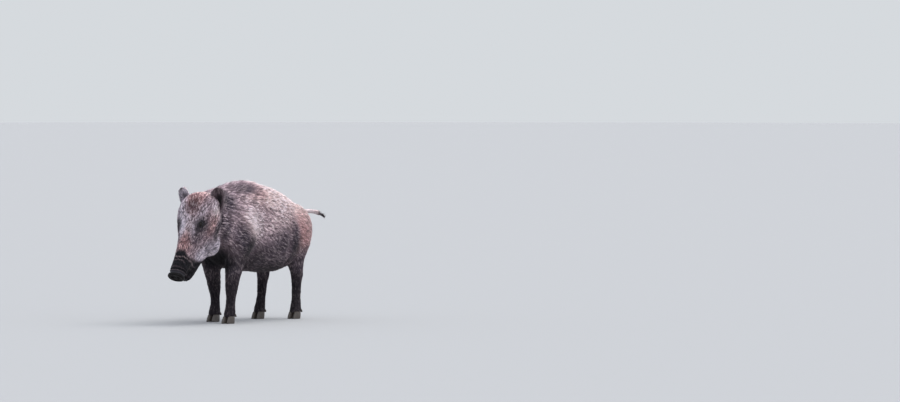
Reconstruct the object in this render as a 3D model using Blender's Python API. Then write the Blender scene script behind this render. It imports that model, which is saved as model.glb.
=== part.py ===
"""A wild boar sow at life size, standing in a slow walk with its head lowered.

The row frame is in metres: +Z up, the snout towards -Y, the boar's left side towards +X, and the
origin on the floor below the middle of its length. Lengths along the body are given as "reach",
measured backwards from the highest point of the withers, and ORIGIN_REACH moves them to the frame.
The flesh is lofted as limbs, trunk and head, melted into one body, and parted by thin cuts. Its
surface is the outline out to the tips of the coat. Ears, eyes, tail, snout disc and hooves are
pieces of their own.
"""

from math import copysign, cos, pi, radians, sin

import bmesh
import bpy
from mathutils import Matrix, Vector

# Driving dimensions
WITHERS_HEIGHT = 0.69
HEAD_LENGTH = 0.465
HEAD_PITCH = radians(59.5)
ORIGIN_REACH = 0.105
GAP = 0.0004
ROOT_GAP = 0.0007

# Fineness of the body
VOXEL = 0.0085
MELT_FACTOR = 0.5
MELT_ROUNDS = 7
BODY_SHARE = 0.053
RING_POINTS = 36
STEPS_PER_SPAN = 4

# Trunk and neck: reach, top, underside, half width
TRUNK = (
    (-0.400, 0.600, 0.470, 0.045),
    (-0.350, 0.636, 0.410, 0.082),
    (-0.290, 0.648, 0.360, 0.106),
    (-0.220, 0.658, 0.318, 0.122),
    (-0.140, 0.674, 0.276, 0.134),
    (-0.060, 0.686, 0.252, 0.144),
    (0.010, WITHERS_HEIGHT, 0.246, 0.150),
    (0.090, 0.682, 0.240, 0.156),
    (0.190, 0.661, 0.233, 0.162),
    (0.290, 0.638, 0.238, 0.161),
    (0.380, 0.604, 0.268, 0.146),
    (0.460, 0.557, 0.325, 0.122),
    (0.512, 0.513, 0.370, 0.096),
    (0.542, 0.480, 0.402, 0.060),
    (0.551, 0.456, 0.428, 0.015),
)
TRUNK_WIDEST = 0.46
TRUNK_TOP_POWER = 1.8
TRUNK_LOW_POWER = 2.2

# Head, along its pitched face line from the crest: distance, top, underside, half width, and the
# share of the height from the underside at which it is widest. Top and underside are measured from
# the face line, outwards from the brow.
CREST_REACH = -0.372
CREST_HEIGHT = 0.648
SKULL = (
    (-0.030, -0.060, -0.140, 0.040, 0.50),
    (0.000, -0.012, -0.185, 0.074, 0.60),
    (0.040, 0.007, -0.205, 0.096, 0.68),
    (0.090, 0.013, -0.212, 0.104, 0.70),
    (0.140, 0.008, -0.204, 0.100, 0.67),
    (0.190, 0.001, -0.184, 0.085, 0.60),
    (0.240, -0.004, -0.155, 0.067, 0.52),
    (0.290, -0.006, -0.128, 0.054, 0.47),
    (0.340, -0.005, -0.104, 0.047, 0.45),
    (0.390, -0.002, -0.084, 0.041, 0.45),
    (0.430, 0.001, -0.073, 0.038, 0.45),
    (0.456, 0.001, -0.070, 0.038, 0.45),
)
LOWER_JAW = (
    (0.080, -0.120, -0.190, 0.030, 0.45),
    (0.110, -0.110, -0.214, 0.058, 0.45),
    (0.160, -0.100, -0.217, 0.074, 0.45),
    (0.220, -0.090, -0.201, 0.074, 0.45),
    (0.280, -0.085, -0.175, 0.058, 0.45),
    (0.340, -0.080, -0.154, 0.045, 0.45),
    (0.390, -0.080, -0.142, 0.037, 0.45),
    (0.425, -0.082, -0.129, 0.029, 0.45),
    (0.441, -0.088, -0.114, 0.016, 0.45),
)
HEAD_TOP_POWER = 2.6
HEAD_LOW_POWER = 2.2
# Rounded forms on each side of the head: place and radii, each along, sideways and outwards
HEAD_SWELLS = {
    "brow": ((0.160, 0.052, -0.020), (0.040, 0.024, 0.022)),
    "jowl": ((0.210, 0.057, -0.148), (0.064, 0.041, 0.059)),
}
DISC_DEPTH = 0.0125
SNOUT_FACE = HEAD_LENGTH - DISC_DEPTH
DISC_HALF_WIDTH = 0.042
DISC_HALF_HEIGHT = 0.0375
DISC_CENTRE = -0.0335
NOSTRIL_SPREAD = 0.0165
NOSTRIL_RADIUS = 0.0075
MOUTH_FRONT = (0.425, -0.086)
MOUTH_CORNER = (0.285, -0.104)
# The ends of the cut that parts the lower jaw: past the chin, and under the jaw below the mouth's corner
PAST_CHIN = (0.485, -0.078)
UNDER_JAW = (0.273, -0.215)

# Eye: along the face line, sideways, outwards
EYE_PLACE = (0.176, 0.0570, -0.013)
EYE_RADIUS = 0.0130

# Ear: base and tip as sideways, reach, height
EAR_BASE = (0.078, -0.325, 0.555)
EAR_TIP = (0.103, -0.347, 0.661)
EAR_OPENING = (0.30, -0.93, 0.10)
EAR_HALF_WIDTH = 0.036
EAR_CUP = 0.020
EAR_THICKNESS = 0.0085
EAR_POINTS = 18
# From base to tip: share of the length, of the half width and of the cup
EAR_SHAPE = (
    (-0.02, 0.60, 0.75),
    (0.17, 0.84, 1.00),
    (0.36, 1.00, 1.00),
    (0.56, 1.01, 0.90),
    (0.76, 0.86, 0.65),
    (0.91, 0.60, 0.35),
    (1.00, 0.20, 0.08),
)

# Legs: height, sideways, reach, half thickness, half depth from front to back
FORELEG = (
    (0.620, 0.070, -0.020, 0.024, 0.040),
    (0.560, 0.086, -0.045, 0.045, 0.082),
    (0.480, 0.097, -0.085, 0.056, 0.106),
    (0.400, 0.099, -0.122, 0.056, 0.100),
    (0.340, 0.096, -0.142, 0.050, 0.076),
    (0.280, 0.091, -0.148, 0.042, 0.052),
    (0.220, 0.087, -0.149, 0.035, 0.040),
    (0.165, 0.085, -0.148, 0.0295, 0.034),
    (0.125, 0.084, -0.147, 0.0235, 0.0255),
    (0.085, 0.084, -0.149, 0.0240, 0.0245),
    (0.055, 0.085, -0.154, 0.0290, 0.0275),
    (0.036, 0.085, -0.160, 0.0280, 0.0275),
    (0.022, 0.085, -0.164, 0.0260, 0.0250),
)
HINDLEG = (
    (0.560, 0.055, 0.395, 0.026, 0.055),
    (0.515, 0.072, 0.405, 0.046, 0.094),
    (0.450, 0.083, 0.400, 0.056, 0.112),
    (0.385, 0.087, 0.380, 0.055, 0.104),
    (0.335, 0.086, 0.366, 0.047, 0.083),
    (0.290, 0.081, 0.364, 0.038, 0.058),
    (0.250, 0.077, 0.374, 0.0315, 0.0420),
    (0.215, 0.075, 0.381, 0.0280, 0.0355),
    (0.175, 0.074, 0.376, 0.0240, 0.0275),
    (0.120, 0.073, 0.370, 0.0220, 0.0235),
    (0.080, 0.074, 0.365, 0.0240, 0.0245),
    (0.055, 0.075, 0.360, 0.0285, 0.0270),
    (0.036, 0.075, 0.354, 0.0280, 0.0275),
    (0.022, 0.075, 0.350, 0.0260, 0.0250),
)
LEG_POWER = 2.15
# How far a foot is set forwards (-) or back (+) in the walk, and the height where its swing begins
STRIDES = {
    "fore_left": (FORELEG, 1, -0.068, 0.42),
    "fore_right": (FORELEG, -1, 0.066, 0.42),
    "hind_left": (HINDLEG, 1, 0.044, 0.44),
    "hind_right": (HINDLEG, -1, -0.050, 0.44),
}

# Hooves, as half widths and half lengths at the sole and at the coronet
HOOF_TOP = 0.034
HOOF_SPREAD = 0.0150
HOOF_SOLE = (0.0128, 0.0285)
HOOF_CORONET = (0.0122, 0.0215)
HOOF_LEAN = 0.011
HOOF_HEEL = 0.25
HOOF_POINTS = 18
# Dewclaw: root and point as behind the foot, height, and out from the middle of the foot
DEWCLAW_ROOT = (0.010, 0.058, 0.0147)
DEWCLAW_POINT = (0.035, 0.0314, 0.021)
DEWCLAW_RADIUS = 0.0085

# Tail, held out behind: reach, height, radius
TAIL = (
    (0.500, 0.500, 0.0220),
    (0.545, 0.511, 0.0155),
    (0.585, 0.517, 0.0120),
    (0.640, 0.519, 0.0105),
    (0.700, 0.514, 0.0105),
    (0.735, 0.508, 0.0125),
    (0.770, 0.501, 0.0155),
    (0.800, 0.493, 0.0135),
    (0.818, 0.488, 0.0050),
)
TUFT_REACH = 0.722

# Cuts: plane through two points, as reach and height
HEAD_CUT = ((-0.325, 0.72), (-0.290, 0.30))
NECK_CUT = ((-0.150, 0.74), (-0.285, 0.28))
LEG_CUT_INNER = (0.006, 0.078)
LEG_CUT_TOP = 0.62
LEG_CUT_MARGIN = 0.026
LEG_CUT_TRIM = -0.006
LEG_CLEAR_OF_BODY = 0.26
LEG_BLENDS_INTO_BODY = 0.36
CUT_REACHES_OUT = 0.26
HEAD_CUT_REACHES_OUT = 0.12

COLOURS = {
    "coat_brown": ((0.165, 0.120, 0.098, 1), 0.85),
    "coat_dark": ((0.055, 0.043, 0.042, 1), 0.85),
    "coat_grey": ((0.270, 0.235, 0.225, 1), 0.85),
    "snout_skin": ((0.018, 0.015, 0.015, 1), 0.45),
    "eye": ((0.020, 0.012, 0.010, 1), 0.08),
    "hoof_horn": ((0.040, 0.034, 0.030, 1), 0.50),
}


def material(name):
    colour, roughness = COLOURS[name]
    made = bpy.data.materials.get(name) or bpy.data.materials.new(name)
    made.use_nodes = True
    made.diffuse_color = colour
    shader = made.node_tree.nodes["Principled BSDF"]
    shader.inputs["Base Color"].default_value = colour
    shader.inputs["Roughness"].default_value = roughness
    shader.inputs["Metallic"].default_value = 0.0
    return made


def add_object(name, mesh, material_name=None):
    made = bpy.data.objects.new(name, mesh)
    bpy.context.scene.collection.objects.link(made)
    if material_name:
        mesh.materials.clear()
        mesh.materials.append(material(material_name))
    return made


def helper(obj):
    """Cutters and the melted body aren't pieces."""
    obj.hide_render = True
    obj.display_type = "WIRE"
    return obj


def clear_scene():
    for obj in list(bpy.data.objects):
        bpy.data.objects.remove(obj)


# Lofts


def between(rows, steps=STEPS_PER_SPAN):
    """The rows with smooth ones between them, by a Catmull-Rom spline."""
    found = []
    for i in range(len(rows) - 1):
        before, start, end, after = (rows[min(max(i + k, 0), len(rows) - 1)] for k in (-1, 0, 1, 2))
        for step in range(steps):
            t = step / steps
            found.append(
                tuple(
                    (
                        2 * b
                        + (c - a) * t
                        + (2 * a - 5 * b + 4 * c - d) * t**2
                        + (3 * b - a - 3 * c + d) * t**3
                    )
                    / 2
                    for a, b, c, d in zip(before, start, end, after)
                )
            )
    return found + [tuple(rows[-1])]


def rounded(angle, power):
    """Cosine and sine of a superellipse: 2 is an ellipse, more is squarer."""
    c, s = cos(angle), sin(angle)
    return (
        copysign(abs(c) ** (2 / power), c),
        copysign(abs(s) ** (2 / power), s),
    )


def oval(centre, across, up, half_width, rise, drop, top_power, low_power, count=RING_POINTS):
    """A closed ring round centre, with its own height above and below."""
    ring = []
    for k in range(count):
        angle = 2 * pi * k / count
        side, height = rounded(angle, top_power if sin(angle) >= 0 else low_power)
        ring.append(centre + across * (half_width * side) + up * (height * (rise if height > 0 else drop)))
    return ring


def loft(name, rings):
    """A closed body through rings of equal count."""
    mesh = bpy.data.meshes.new(name)
    bm = bmesh.new()
    loops = [[bm.verts.new(p) for p in ring] for ring in rings]
    for lower, upper in zip(loops, loops[1:]):
        for k in range(len(lower)):
            j = (k + 1) % len(lower)
            bm.faces.new((lower[k], lower[j], upper[j], upper[k]))
    bm.faces.new(loops[0])
    bm.faces.new(loops[-1])
    bmesh.ops.recalc_face_normals(bm, faces=bm.faces)
    bm.to_mesh(mesh)
    bm.free()
    return mesh


def place(reach, height, sideways=0.0):
    return Vector((sideways, reach - ORIGIN_REACH, height))


# The head's own axes: forwards down the face line, left, and outwards from the brow
FACE = Vector((0, -cos(HEAD_PITCH), -sin(HEAD_PITCH)))
LEFT = Vector((1, 0, 0))
BROW = FACE.cross(LEFT)
CREST = place(CREST_REACH, CREST_HEIGHT)


def on_head(along, sideways, outwards):
    return CREST + FACE * along + LEFT * sideways + BROW * outwards


def trunk_mesh():
    rings = []
    for reach, top, low, half_width in between(TRUNK):
        widest = low + TRUNK_WIDEST * (top - low)
        rings.append(
            oval(
                place(reach, widest), LEFT, Vector((0, 0, 1)), half_width,
                top - widest, widest - low, TRUNK_TOP_POWER, TRUNK_LOW_POWER,
            )
        )
    return loft("trunk_form", rings)


def head_mesh(name, rows):
    rings = []
    for along, top, low, half_width, widest_share in between(rows):
        widest = low + widest_share * (top - low)
        rings.append(
            oval(
                on_head(along, 0, widest), LEFT, BROW, half_width,
                top - widest, widest - low, HEAD_TOP_POWER, HEAD_LOW_POWER,
            )
        )
    return loft(name, rings)


def head_swell(name, side):
    (along, sideways, outwards), radii = HEAD_SWELLS[name]
    mesh = ball(f"{name}_form", Vector(), 1, 24, 14)
    turn = Matrix((FACE, LEFT, BROW)).transposed() @ Matrix.Diagonal(radii)
    mesh.transform(Matrix.Translation(on_head(along, side * sideways, outwards)) @ turn.to_4x4())
    return mesh


def stride_at(height, stride, swing_height):
    """How far a leg is set forwards or back at a height: all of its stride at the floor."""
    t = min(max(1 - height / swing_height, 0), 1)
    return stride * (1 - (1 - t) ** 2)


def leg_rows(rows, side, stride, swing_height):
    return [
        (height, side * sideways, reach + stride_at(height, stride, swing_height), thick, deep)
        for height, sideways, reach, thick, deep in rows
    ]


def leg_mesh(name, rows):
    rings = [
        oval(
            place(reach, height, sideways), LEFT, Vector((0, 1, 0)),
            thick, deep, deep, LEG_POWER, LEG_POWER,
        )
        for height, sideways, reach, thick, deep in between(rows)
    ]
    return loft(name, rings)


def melted(forms):
    """One body from overlapping closed forms: joined, remeshed, and smoothed where they meet."""
    bm = bmesh.new()
    for form in forms:
        bm.from_mesh(form)
    joined = bpy.data.meshes.new("forms")
    bm.to_mesh(joined)
    bm.free()
    body = helper(add_object("melted_forms", joined))
    remesh = body.modifiers.new("melt", "REMESH")
    remesh.mode = "VOXEL"
    remesh.voxel_size = VOXEL
    remesh.adaptivity = 0
    smooth = body.modifiers.new("soften", "SMOOTH")
    smooth.factor = MELT_FACTOR
    smooth.iterations = MELT_ROUNDS
    return evaluated(body, "melted_body")


def thinned(mesh):
    """The body with fewer faces, which stay where it bends most."""
    body = helper(add_object("fine_body", mesh))
    thin = body.modifiers.new("thin_out", "DECIMATE")
    thin.ratio = BODY_SHARE
    return evaluated(body, "thinned_body")


def evaluated(obj, name):
    bpy.context.view_layer.update()
    graph = bpy.context.evaluated_depsgraph_get()
    mesh = bpy.data.meshes.new_from_object(obj.evaluated_get(graph))
    mesh.name = name
    return mesh


# Thin cuts


def thin_sheet(name, lines, close_top=False):
    """A cutter GAP thick: the surface through lines of equal count."""
    mesh = bpy.data.meshes.new(name)
    bm = bmesh.new()
    rows = [[bm.verts.new(p) for p in line] for line in lines]
    for lower, upper in zip(rows, rows[1:]):
        for k in range(len(lower) - 1):
            bm.faces.new((lower[k], lower[k + 1], upper[k + 1], upper[k]))
    if close_top:
        bm.faces.new(rows[-1])
    bmesh.ops.recalc_face_normals(bm, faces=bm.faces)
    bm.to_mesh(mesh)
    bm.free()
    sheet = helper(add_object(name, mesh))
    thick = sheet.modifiers.new("thickness", "SOLIDIFY")
    thick.thickness = GAP
    thick.offset = 0
    return sheet


def cross_cut(name, ends):
    """A flat sheet right across the body, through two points given as reach and height."""
    return thin_sheet(
        name,
        [[place(*end, sideways=side * CUT_REACHES_OUT) for side in (-1, 1)] for end in ends],
    )


def mouth_cut():
    """Along the mouth from past the chin to its corner, then down through the jaw."""
    lines = [
        [on_head(along, side * HEAD_CUT_REACHES_OUT, outwards) for side in (-1, 1)]
        for along, outwards in (PAST_CHIN, MOUTH_FRONT, MOUTH_CORNER, UNDER_JAW)
    ]
    return thin_sheet("mouth_cut", lines)


def leg_cut(name, rows, side):
    """Round the shoulder or thigh and down outside the leg, open outwards and at the floor."""
    lines = []
    inner_low, inner_top = LEG_CUT_INNER
    floor_row = (-0.02, *rows[-1][1:])
    shown = [row for row in between(rows) if row[0] <= LEG_CUT_TOP]
    for height, _, reach, _, deep in [floor_row, *reversed(shown)]:
        clear = (LEG_BLENDS_INTO_BODY - height) / (LEG_BLENDS_INTO_BODY - LEG_CLEAR_OF_BODY)
        clear = min(max(clear, 0), 1)
        margin = LEG_CUT_TRIM + (LEG_CUT_MARGIN - LEG_CUT_TRIM) * clear
        front, back = reach - deep - margin, reach + deep + margin
        inner = inner_low + (inner_top - inner_low) * max(height, 0) / LEG_CUT_TOP
        corners = ((CUT_REACHES_OUT, front), (inner, front), (inner, back), (CUT_REACHES_OUT, back))
        lines.append([place(y, height, side * x) for x, y in corners])
    return thin_sheet(name, lines, close_top=True)


def block(name, at, sideways, far_and_near, other):
    """A closed box between two ends of each of three directions, at(far_and_near, sideways, other)."""
    mesh = bpy.data.meshes.new(name)
    bm = bmesh.new()
    corners = [bm.verts.new(at(a, b, c)) for a in far_and_near for b in sideways for c in other]
    bmesh.ops.convex_hull(bm, input=corners)
    bmesh.ops.recalc_face_normals(bm, faces=bm.faces)
    bm.to_mesh(mesh)
    bm.free()
    return helper(add_object(name, mesh))


def below_the_coronets():
    """Everything under the top of the hooves."""
    reach = (-0.5, 0.7)
    height = (-0.1, HOOF_TOP)
    ends = (-CUT_REACHES_OUT, CUT_REACHES_OUT)
    return block("below_the_coronets", lambda y, x, z: place(y, z, x), ends, reach, height)


def before_the_snout():
    """Everything in front of the flat end of the snout."""
    along = (SNOUT_FACE, SNOUT_FACE + 0.08)
    outwards = (DISC_CENTRE - 0.10, DISC_CENTRE + 0.10)
    ends = (-HEAD_CUT_REACHES_OUT, HEAD_CUT_REACHES_OUT)
    return block("before_the_snout", on_head, ends, along, outwards)


def ball(name, centre, radius, segments=14, rings=8):
    mesh = bpy.data.meshes.new(name)
    bm = bmesh.new()
    bmesh.ops.create_uvsphere(bm, u_segments=segments, v_segments=rings, radius=radius)
    bmesh.ops.translate(bm, vec=centre, verts=bm.verts)
    bm.to_mesh(mesh)
    bm.free()
    mesh.shade_smooth()
    return mesh


def cut_away(obj, cutter):
    made = obj.modifiers.new(cutter.name, "BOOLEAN")
    made.operation = "DIFFERENCE"
    made.solver = "EXACT"
    made.object = cutter


def loose_parts(mesh):
    """The mesh's separate bodies, each as its own mesh."""
    whole = bmesh.new()
    whole.from_mesh(mesh)
    whole.verts.ensure_lookup_table()
    seen = set()
    parts = []
    for first in whole.verts:
        if first in seen:
            continue
        todo, body = [first], []
        seen.add(first)
        while todo:
            vert = todo.pop()
            body.append(vert)
            for edge in vert.link_edges:
                other = edge.other_vert(vert)
                if other not in seen:
                    seen.add(other)
                    todo.append(other)
        part = bmesh.new()
        copies = {vert: part.verts.new(vert.co) for vert in body}
        for face in {face for vert in body for face in vert.link_faces}:
            part.faces.new([copies[vert] for vert in face.verts])
        made = bpy.data.meshes.new("part")
        part.to_mesh(made)
        part.free()
        parts.append(made)
    whole.free()
    return parts


def middle(mesh):
    return sum((v.co for v in mesh.vertices), Vector()) / len(mesh.vertices)


FLESH = {
    "head": (on_head(0.14, 0, -0.09), "coat_grey"),
    "lower_jaw": (on_head(0.35, 0, -0.12), "coat_dark"),
    "neck": (place(-0.20, 0.50), "coat_brown"),
    "trunk": (place(0.22, 0.44), "coat_brown"),
    "foreleg_left": (place(-0.16, 0.30, 0.09), "coat_dark"),
    "foreleg_right": (place(-0.10, 0.30, -0.09), "coat_dark"),
    "hindleg_left": (place(0.42, 0.30, 0.09), "coat_dark"),
    "hindleg_right": (place(0.37, 0.30, -0.09), "coat_dark"),
}


def part_the_flesh(body_mesh, legs):
    """The melted body cut into its named parts."""
    body = helper(add_object("body_to_cut", body_mesh))
    for side in (-1, 1):
        along, sideways, outwards = EYE_PLACE
        socket = ball("eye_socket", on_head(along, side * sideways, outwards), EYE_RADIUS + GAP)
        cut_away(body, helper(add_object("eye_socket", socket)))
    cut_away(body, below_the_coronets())
    cut_away(body, before_the_snout())
    cut_away(body, cross_cut("head_cut", HEAD_CUT))
    cut_away(body, cross_cut("neck_cut", NECK_CUT))
    cut_away(body, mouth_cut())
    for name, (rows, side) in legs.items():
        cut_away(body, leg_cut(f"{name}_cut", rows, side))
    parts = loose_parts(evaluated(body, "parted_body"))
    if len(parts) != len(FLESH):
        raise RuntimeError(f"the cuts left {len(parts)} parts, and {len(FLESH)} are named")
    for name, (seed, coat) in FLESH.items():
        nearest = min(parts, key=lambda mesh: (middle(mesh) - seed).length)
        parts.remove(nearest)
        nearest.name = name
        nearest.shade_flat()
        add_object(name, nearest, coat)


# Pieces that stand out from the flesh


def clearance_of(body_mesh):
    """The body grown by ROOT_GAP, which cuts the root of each piece that grows from it."""
    grown = helper(add_object("body_clearance", body_mesh.copy()))
    swell = grown.modifiers.new("grow", "DISPLACE")
    swell.strength = ROOT_GAP
    swell.mid_level = 0
    return grown


def ear(side, clearance):
    """A cupped leaf, open forwards and outwards."""
    base, tip = (place(reach, height, side * x) for x, reach, height in (EAR_BASE, EAR_TIP))
    along = tip - base
    sideways, forwards, up = EAR_OPENING
    opening = Vector((side * sideways, forwards, up))
    opening = (opening - opening.project(along)).normalized()
    across = along.normalized().cross(opening)
    rings = []
    for share, width, cup in between(EAR_SHAPE, 1):
        half_width = EAR_HALF_WIDTH * width
        ring = []
        for k in range(EAR_POINTS):
            c, s = rounded(2 * pi * k / EAR_POINTS, 2)
            curl = EAR_CUP * cup * (c * c - 0.5)
            leaf = across * (half_width * c) + opening * (curl + s * EAR_THICKNESS / 2)
            ring.append(base + along * share + leaf)
        rings.append(ring)
    name = "ear_left" if side > 0 else "ear_right"
    piece = add_object(name, loft(name, rings), "coat_dark")
    piece.data.shade_flat()
    cut_away(piece, clearance)


def eye(side):
    along, sideways, outwards = EYE_PLACE
    name = "eye_left" if side > 0 else "eye_right"
    add_object(name, ball(name, on_head(along, side * sideways, outwards), EYE_RADIUS), "eye")


def snout_disc():
    """The rooting disc: an oval plate with rolled edges and two nostrils."""
    start = SNOUT_FACE + GAP
    rings = []
    for depth, scale in ((0, 0.95), (0.25, 1.0), (0.75, 1.0), (1.0, 0.93)):
        rings.append(
            oval(
                on_head(start + depth * DISC_DEPTH, 0, DISC_CENTRE), LEFT, BROW, DISC_HALF_WIDTH * scale,
                DISC_HALF_HEIGHT * scale, DISC_HALF_HEIGHT * scale, 2.3, 2.1, 32,
            )
        )
    piece = add_object("snout_disc", loft("snout_disc", rings), "snout_skin")
    for side in (-1, 1):
        hole = [
            oval(
                on_head(start + depth, side * NOSTRIL_SPREAD, DISC_CENTRE + 0.002), LEFT, BROW,
                NOSTRIL_RADIUS * 0.85, NOSTRIL_RADIUS, NOSTRIL_RADIUS * 1.15, 2, 2, 14,
            )
            for depth in (DISC_DEPTH * 0.35, DISC_DEPTH * 1.5)
        ]
        cut_away(piece, helper(add_object("nostril", loft("nostril", hole))))


def tail(clearance):
    """The tail with its hair tuft, parted where the tuft begins."""
    rings = [
        oval(place(reach, height), LEFT, Vector((0, 0, 1)), radius, radius, radius, 2, 2, 12)
        for reach, height, radius in between(TAIL, 2)
    ]
    pieces = (
        ("tail", "coat_grey", (TUFT_REACH - GAP, TAIL[-1][0] + 0.1)),
        ("tail_tuft", "coat_dark", (TAIL[0][0] - 0.1, TUFT_REACH)),
    )
    for name, coat, removed in pieces:
        piece = add_object(name, loft(name, rings), coat)
        off = block(f"{name}_cut", lambda y, x, z: place(y, z, x), (-0.05, 0.05), removed, (0.4, 0.6))
        cut_away(piece, off)
        cut_away(piece, clearance)


def hoof(name, sideways, reach):
    """One half of the cloven hoof: a flat sole, leaning back to the coronet."""
    rings = []
    for share in (0, 0.5, 1):
        half_width, half_length = (a + (b - a) * share for a, b in zip(HOOF_SOLE, HOOF_CORONET))
        centre = place(reach - HOOF_LEAN * (1 - share), (HOOF_TOP - GAP) * share, sideways)
        ring = []
        for k in range(HOOF_POINTS):
            c, s = rounded(2 * pi * k / HOOF_POINTS, 2.1)
            ring.append(centre + Vector((half_width * c * (1 + HOOF_HEEL * s), half_length * s, 0)))
        rings.append(ring)
    add_object(name, loft(name, rings), "hoof_horn")


def dewclaw(name, sideways, out, reach, clearance):
    """A small claw behind the pastern, pointing back and down."""
    root = place(reach + DEWCLAW_ROOT[0], DEWCLAW_ROOT[1], sideways + out * DEWCLAW_ROOT[2])
    point = place(reach + DEWCLAW_POINT[0], DEWCLAW_POINT[1], sideways + out * DEWCLAW_POINT[2])
    over = (point - root).normalized().cross(LEFT).normalized()
    rings = []
    for share, size in ((0, 1.0), (0.5, 1.05), (0.85, 0.75), (1.0, 0.35)):
        radius = DEWCLAW_RADIUS * size
        rings.append(oval(root.lerp(point, share), LEFT, over, radius, radius, radius, 2, 2, 12))
    piece = add_object(name, loft(name, rings), "hoof_horn")
    cut_away(piece, clearance)


def foot(name, rows, clearance):
    """Two hooves that bear the weight, and two dewclaws behind them."""
    _, sideways, reach, _, _ = rows[-1]
    outside = copysign(1, sideways)
    for toe, out in (("inner", -outside), ("outer", outside)):
        hoof(f"hoof_{name}_{toe}", sideways + out * HOOF_SPREAD, reach)
        dewclaw(f"dewclaw_{name}_{toe}", sideways, out, reach, clearance)


def build():
    clear_scene()
    legs = {}
    for name, (rows, side, stride, swing_height) in STRIDES.items():
        legs[name] = (leg_rows(rows, side, stride, swing_height), side)
    forms = [trunk_mesh(), head_mesh("skull_form", SKULL), head_mesh("jaw_form", LOWER_JAW)]
    forms += [head_swell(name, side) for name in HEAD_SWELLS for side in (-1, 1)]
    forms += [leg_mesh(f"{name}_form", rows) for name, (rows, _) in legs.items()]
    body = thinned(melted(forms))
    clearance = clearance_of(body)
    part_the_flesh(body, legs)
    for side in (-1, 1):
        ear(side, clearance)
        eye(side)
    snout_disc()
    tail(clearance)
    for name, (rows, _) in legs.items():
        foot(name, rows, clearance)


build()
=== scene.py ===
"""The looks of a wild boar sow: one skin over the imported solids, a coat of solid tufts on it, and fine
eyes, snout disc and hooves.

Everything is in the row frame, in metres: the snout towards -Y, the boar's left towards +X, Z up.
Places on the head are given along its face line from the crest, sideways, and outwards from the brow.
"""

from math import ceil, cos, pi, radians, sin
from types import SimpleNamespace

import bmesh
import bpy
import numpy as np
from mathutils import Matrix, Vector
from mathutils.bvhtree import BVHTree
from mathutils.kdtree import KDTree


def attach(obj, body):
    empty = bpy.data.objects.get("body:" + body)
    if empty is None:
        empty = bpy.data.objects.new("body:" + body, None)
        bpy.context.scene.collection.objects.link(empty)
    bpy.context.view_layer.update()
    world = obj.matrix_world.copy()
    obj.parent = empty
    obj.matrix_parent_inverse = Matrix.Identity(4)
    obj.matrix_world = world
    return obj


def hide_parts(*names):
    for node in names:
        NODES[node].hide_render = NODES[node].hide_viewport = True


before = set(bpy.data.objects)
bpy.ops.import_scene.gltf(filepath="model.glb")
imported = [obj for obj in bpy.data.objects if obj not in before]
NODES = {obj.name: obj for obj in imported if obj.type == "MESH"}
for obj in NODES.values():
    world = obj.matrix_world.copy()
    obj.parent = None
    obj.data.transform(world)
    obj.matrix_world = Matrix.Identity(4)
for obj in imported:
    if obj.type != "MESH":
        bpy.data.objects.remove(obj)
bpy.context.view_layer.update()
chance = np.random.default_rng(27)
MM = 0.001
SIDES = {"left": 1, "right": -1}

# The head's axes
HEAD_PITCH = radians(59.5)
FACE = np.array((0, -cos(HEAD_PITCH), -sin(HEAD_PITCH)))
LEFT = np.array((1.0, 0.0, 0.0))
BROW = np.cross(FACE, LEFT)
CREST = np.array((0, -0.477, 0.648))
UP = np.array((0.0, 0.0, 1.0))


def on_head(along, sideways, outwards):
    return CREST + FACE * along + LEFT * sideways + BROW * outwards


def head_place(points):
    """Points as along, sideways (without its sign) and outwards."""
    off = points - CREST
    return off @ FACE, np.abs(points[:, 0]), off @ BROW


def step(value, start, end):
    """0 at start to 1 at end, smoothly."""
    t = np.clip((value - start) / (end - start), 0, 1)
    return t * t * (3 - 2 * t)


def swell(off, width):
    """1 where off is 0, fading to both sides."""
    return np.exp(-((off / width) ** 2))


def unit(vectors):
    return vectors / np.maximum(np.linalg.norm(vectors, axis=-1, keepdims=True), 1e-12)


def dot(one, other):
    """The product of each pair of vectors, as a column."""
    return np.einsum("ij,ij->i", one, other)[:, None]


def blend(values, others, share):
    """Vectors that pass into others by each one's share."""
    return values + share[:, None] * (others - values)


def mirrored(points):
    """Points moved to the left side."""
    return np.stack((np.abs(points[:, 0]), points[:, 1], points[:, 2]), 1)


# ---------------------------------------------------------------- camera, floor and light

CAMERA_AZIMUTH = radians(31)
CAMERA_ELEVATION = radians(2)
CAMERA_DISTANCE = 60.0
VIEW_WIDTH = 4.39
AIM_ASIDE = 1.029
AIM_BELOW = 0.1024
WITHERS = Vector((0, -0.105, 0.69))


def make_camera():
    level = cos(CAMERA_ELEVATION)
    back = Vector((sin(CAMERA_AZIMUTH) * level, -cos(CAMERA_AZIMUTH) * level, sin(CAMERA_ELEVATION)))
    right = Vector((cos(CAMERA_AZIMUTH), sin(CAMERA_AZIMUTH), 0))
    aim = WITHERS + right * AIM_ASIDE - back.cross(right) * AIM_BELOW
    data = bpy.data.cameras.new("camera")
    data.sensor_width = 36
    data.lens = data.sensor_width * CAMERA_DISTANCE / VIEW_WIDTH
    data.clip_start, data.clip_end = 1, 200
    camera = add_object("camera", data)
    camera.location = aim + back * CAMERA_DISTANCE
    camera.rotation_mode = "QUATERNION"
    camera.rotation_quaternion = back.to_track_quat("Z", "Y")
    bpy.context.scene.camera = camera


FLOOR_RADIUS = 34.0
FLOOR_PAINT = (0.30, 0.30, 0.298, 1)
SKY = (0.84, 0.89, 1.0, 1)
SKY_STRENGTH = 1.15
BACKDROP = (0.67, 0.70, 0.73, 1)


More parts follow.
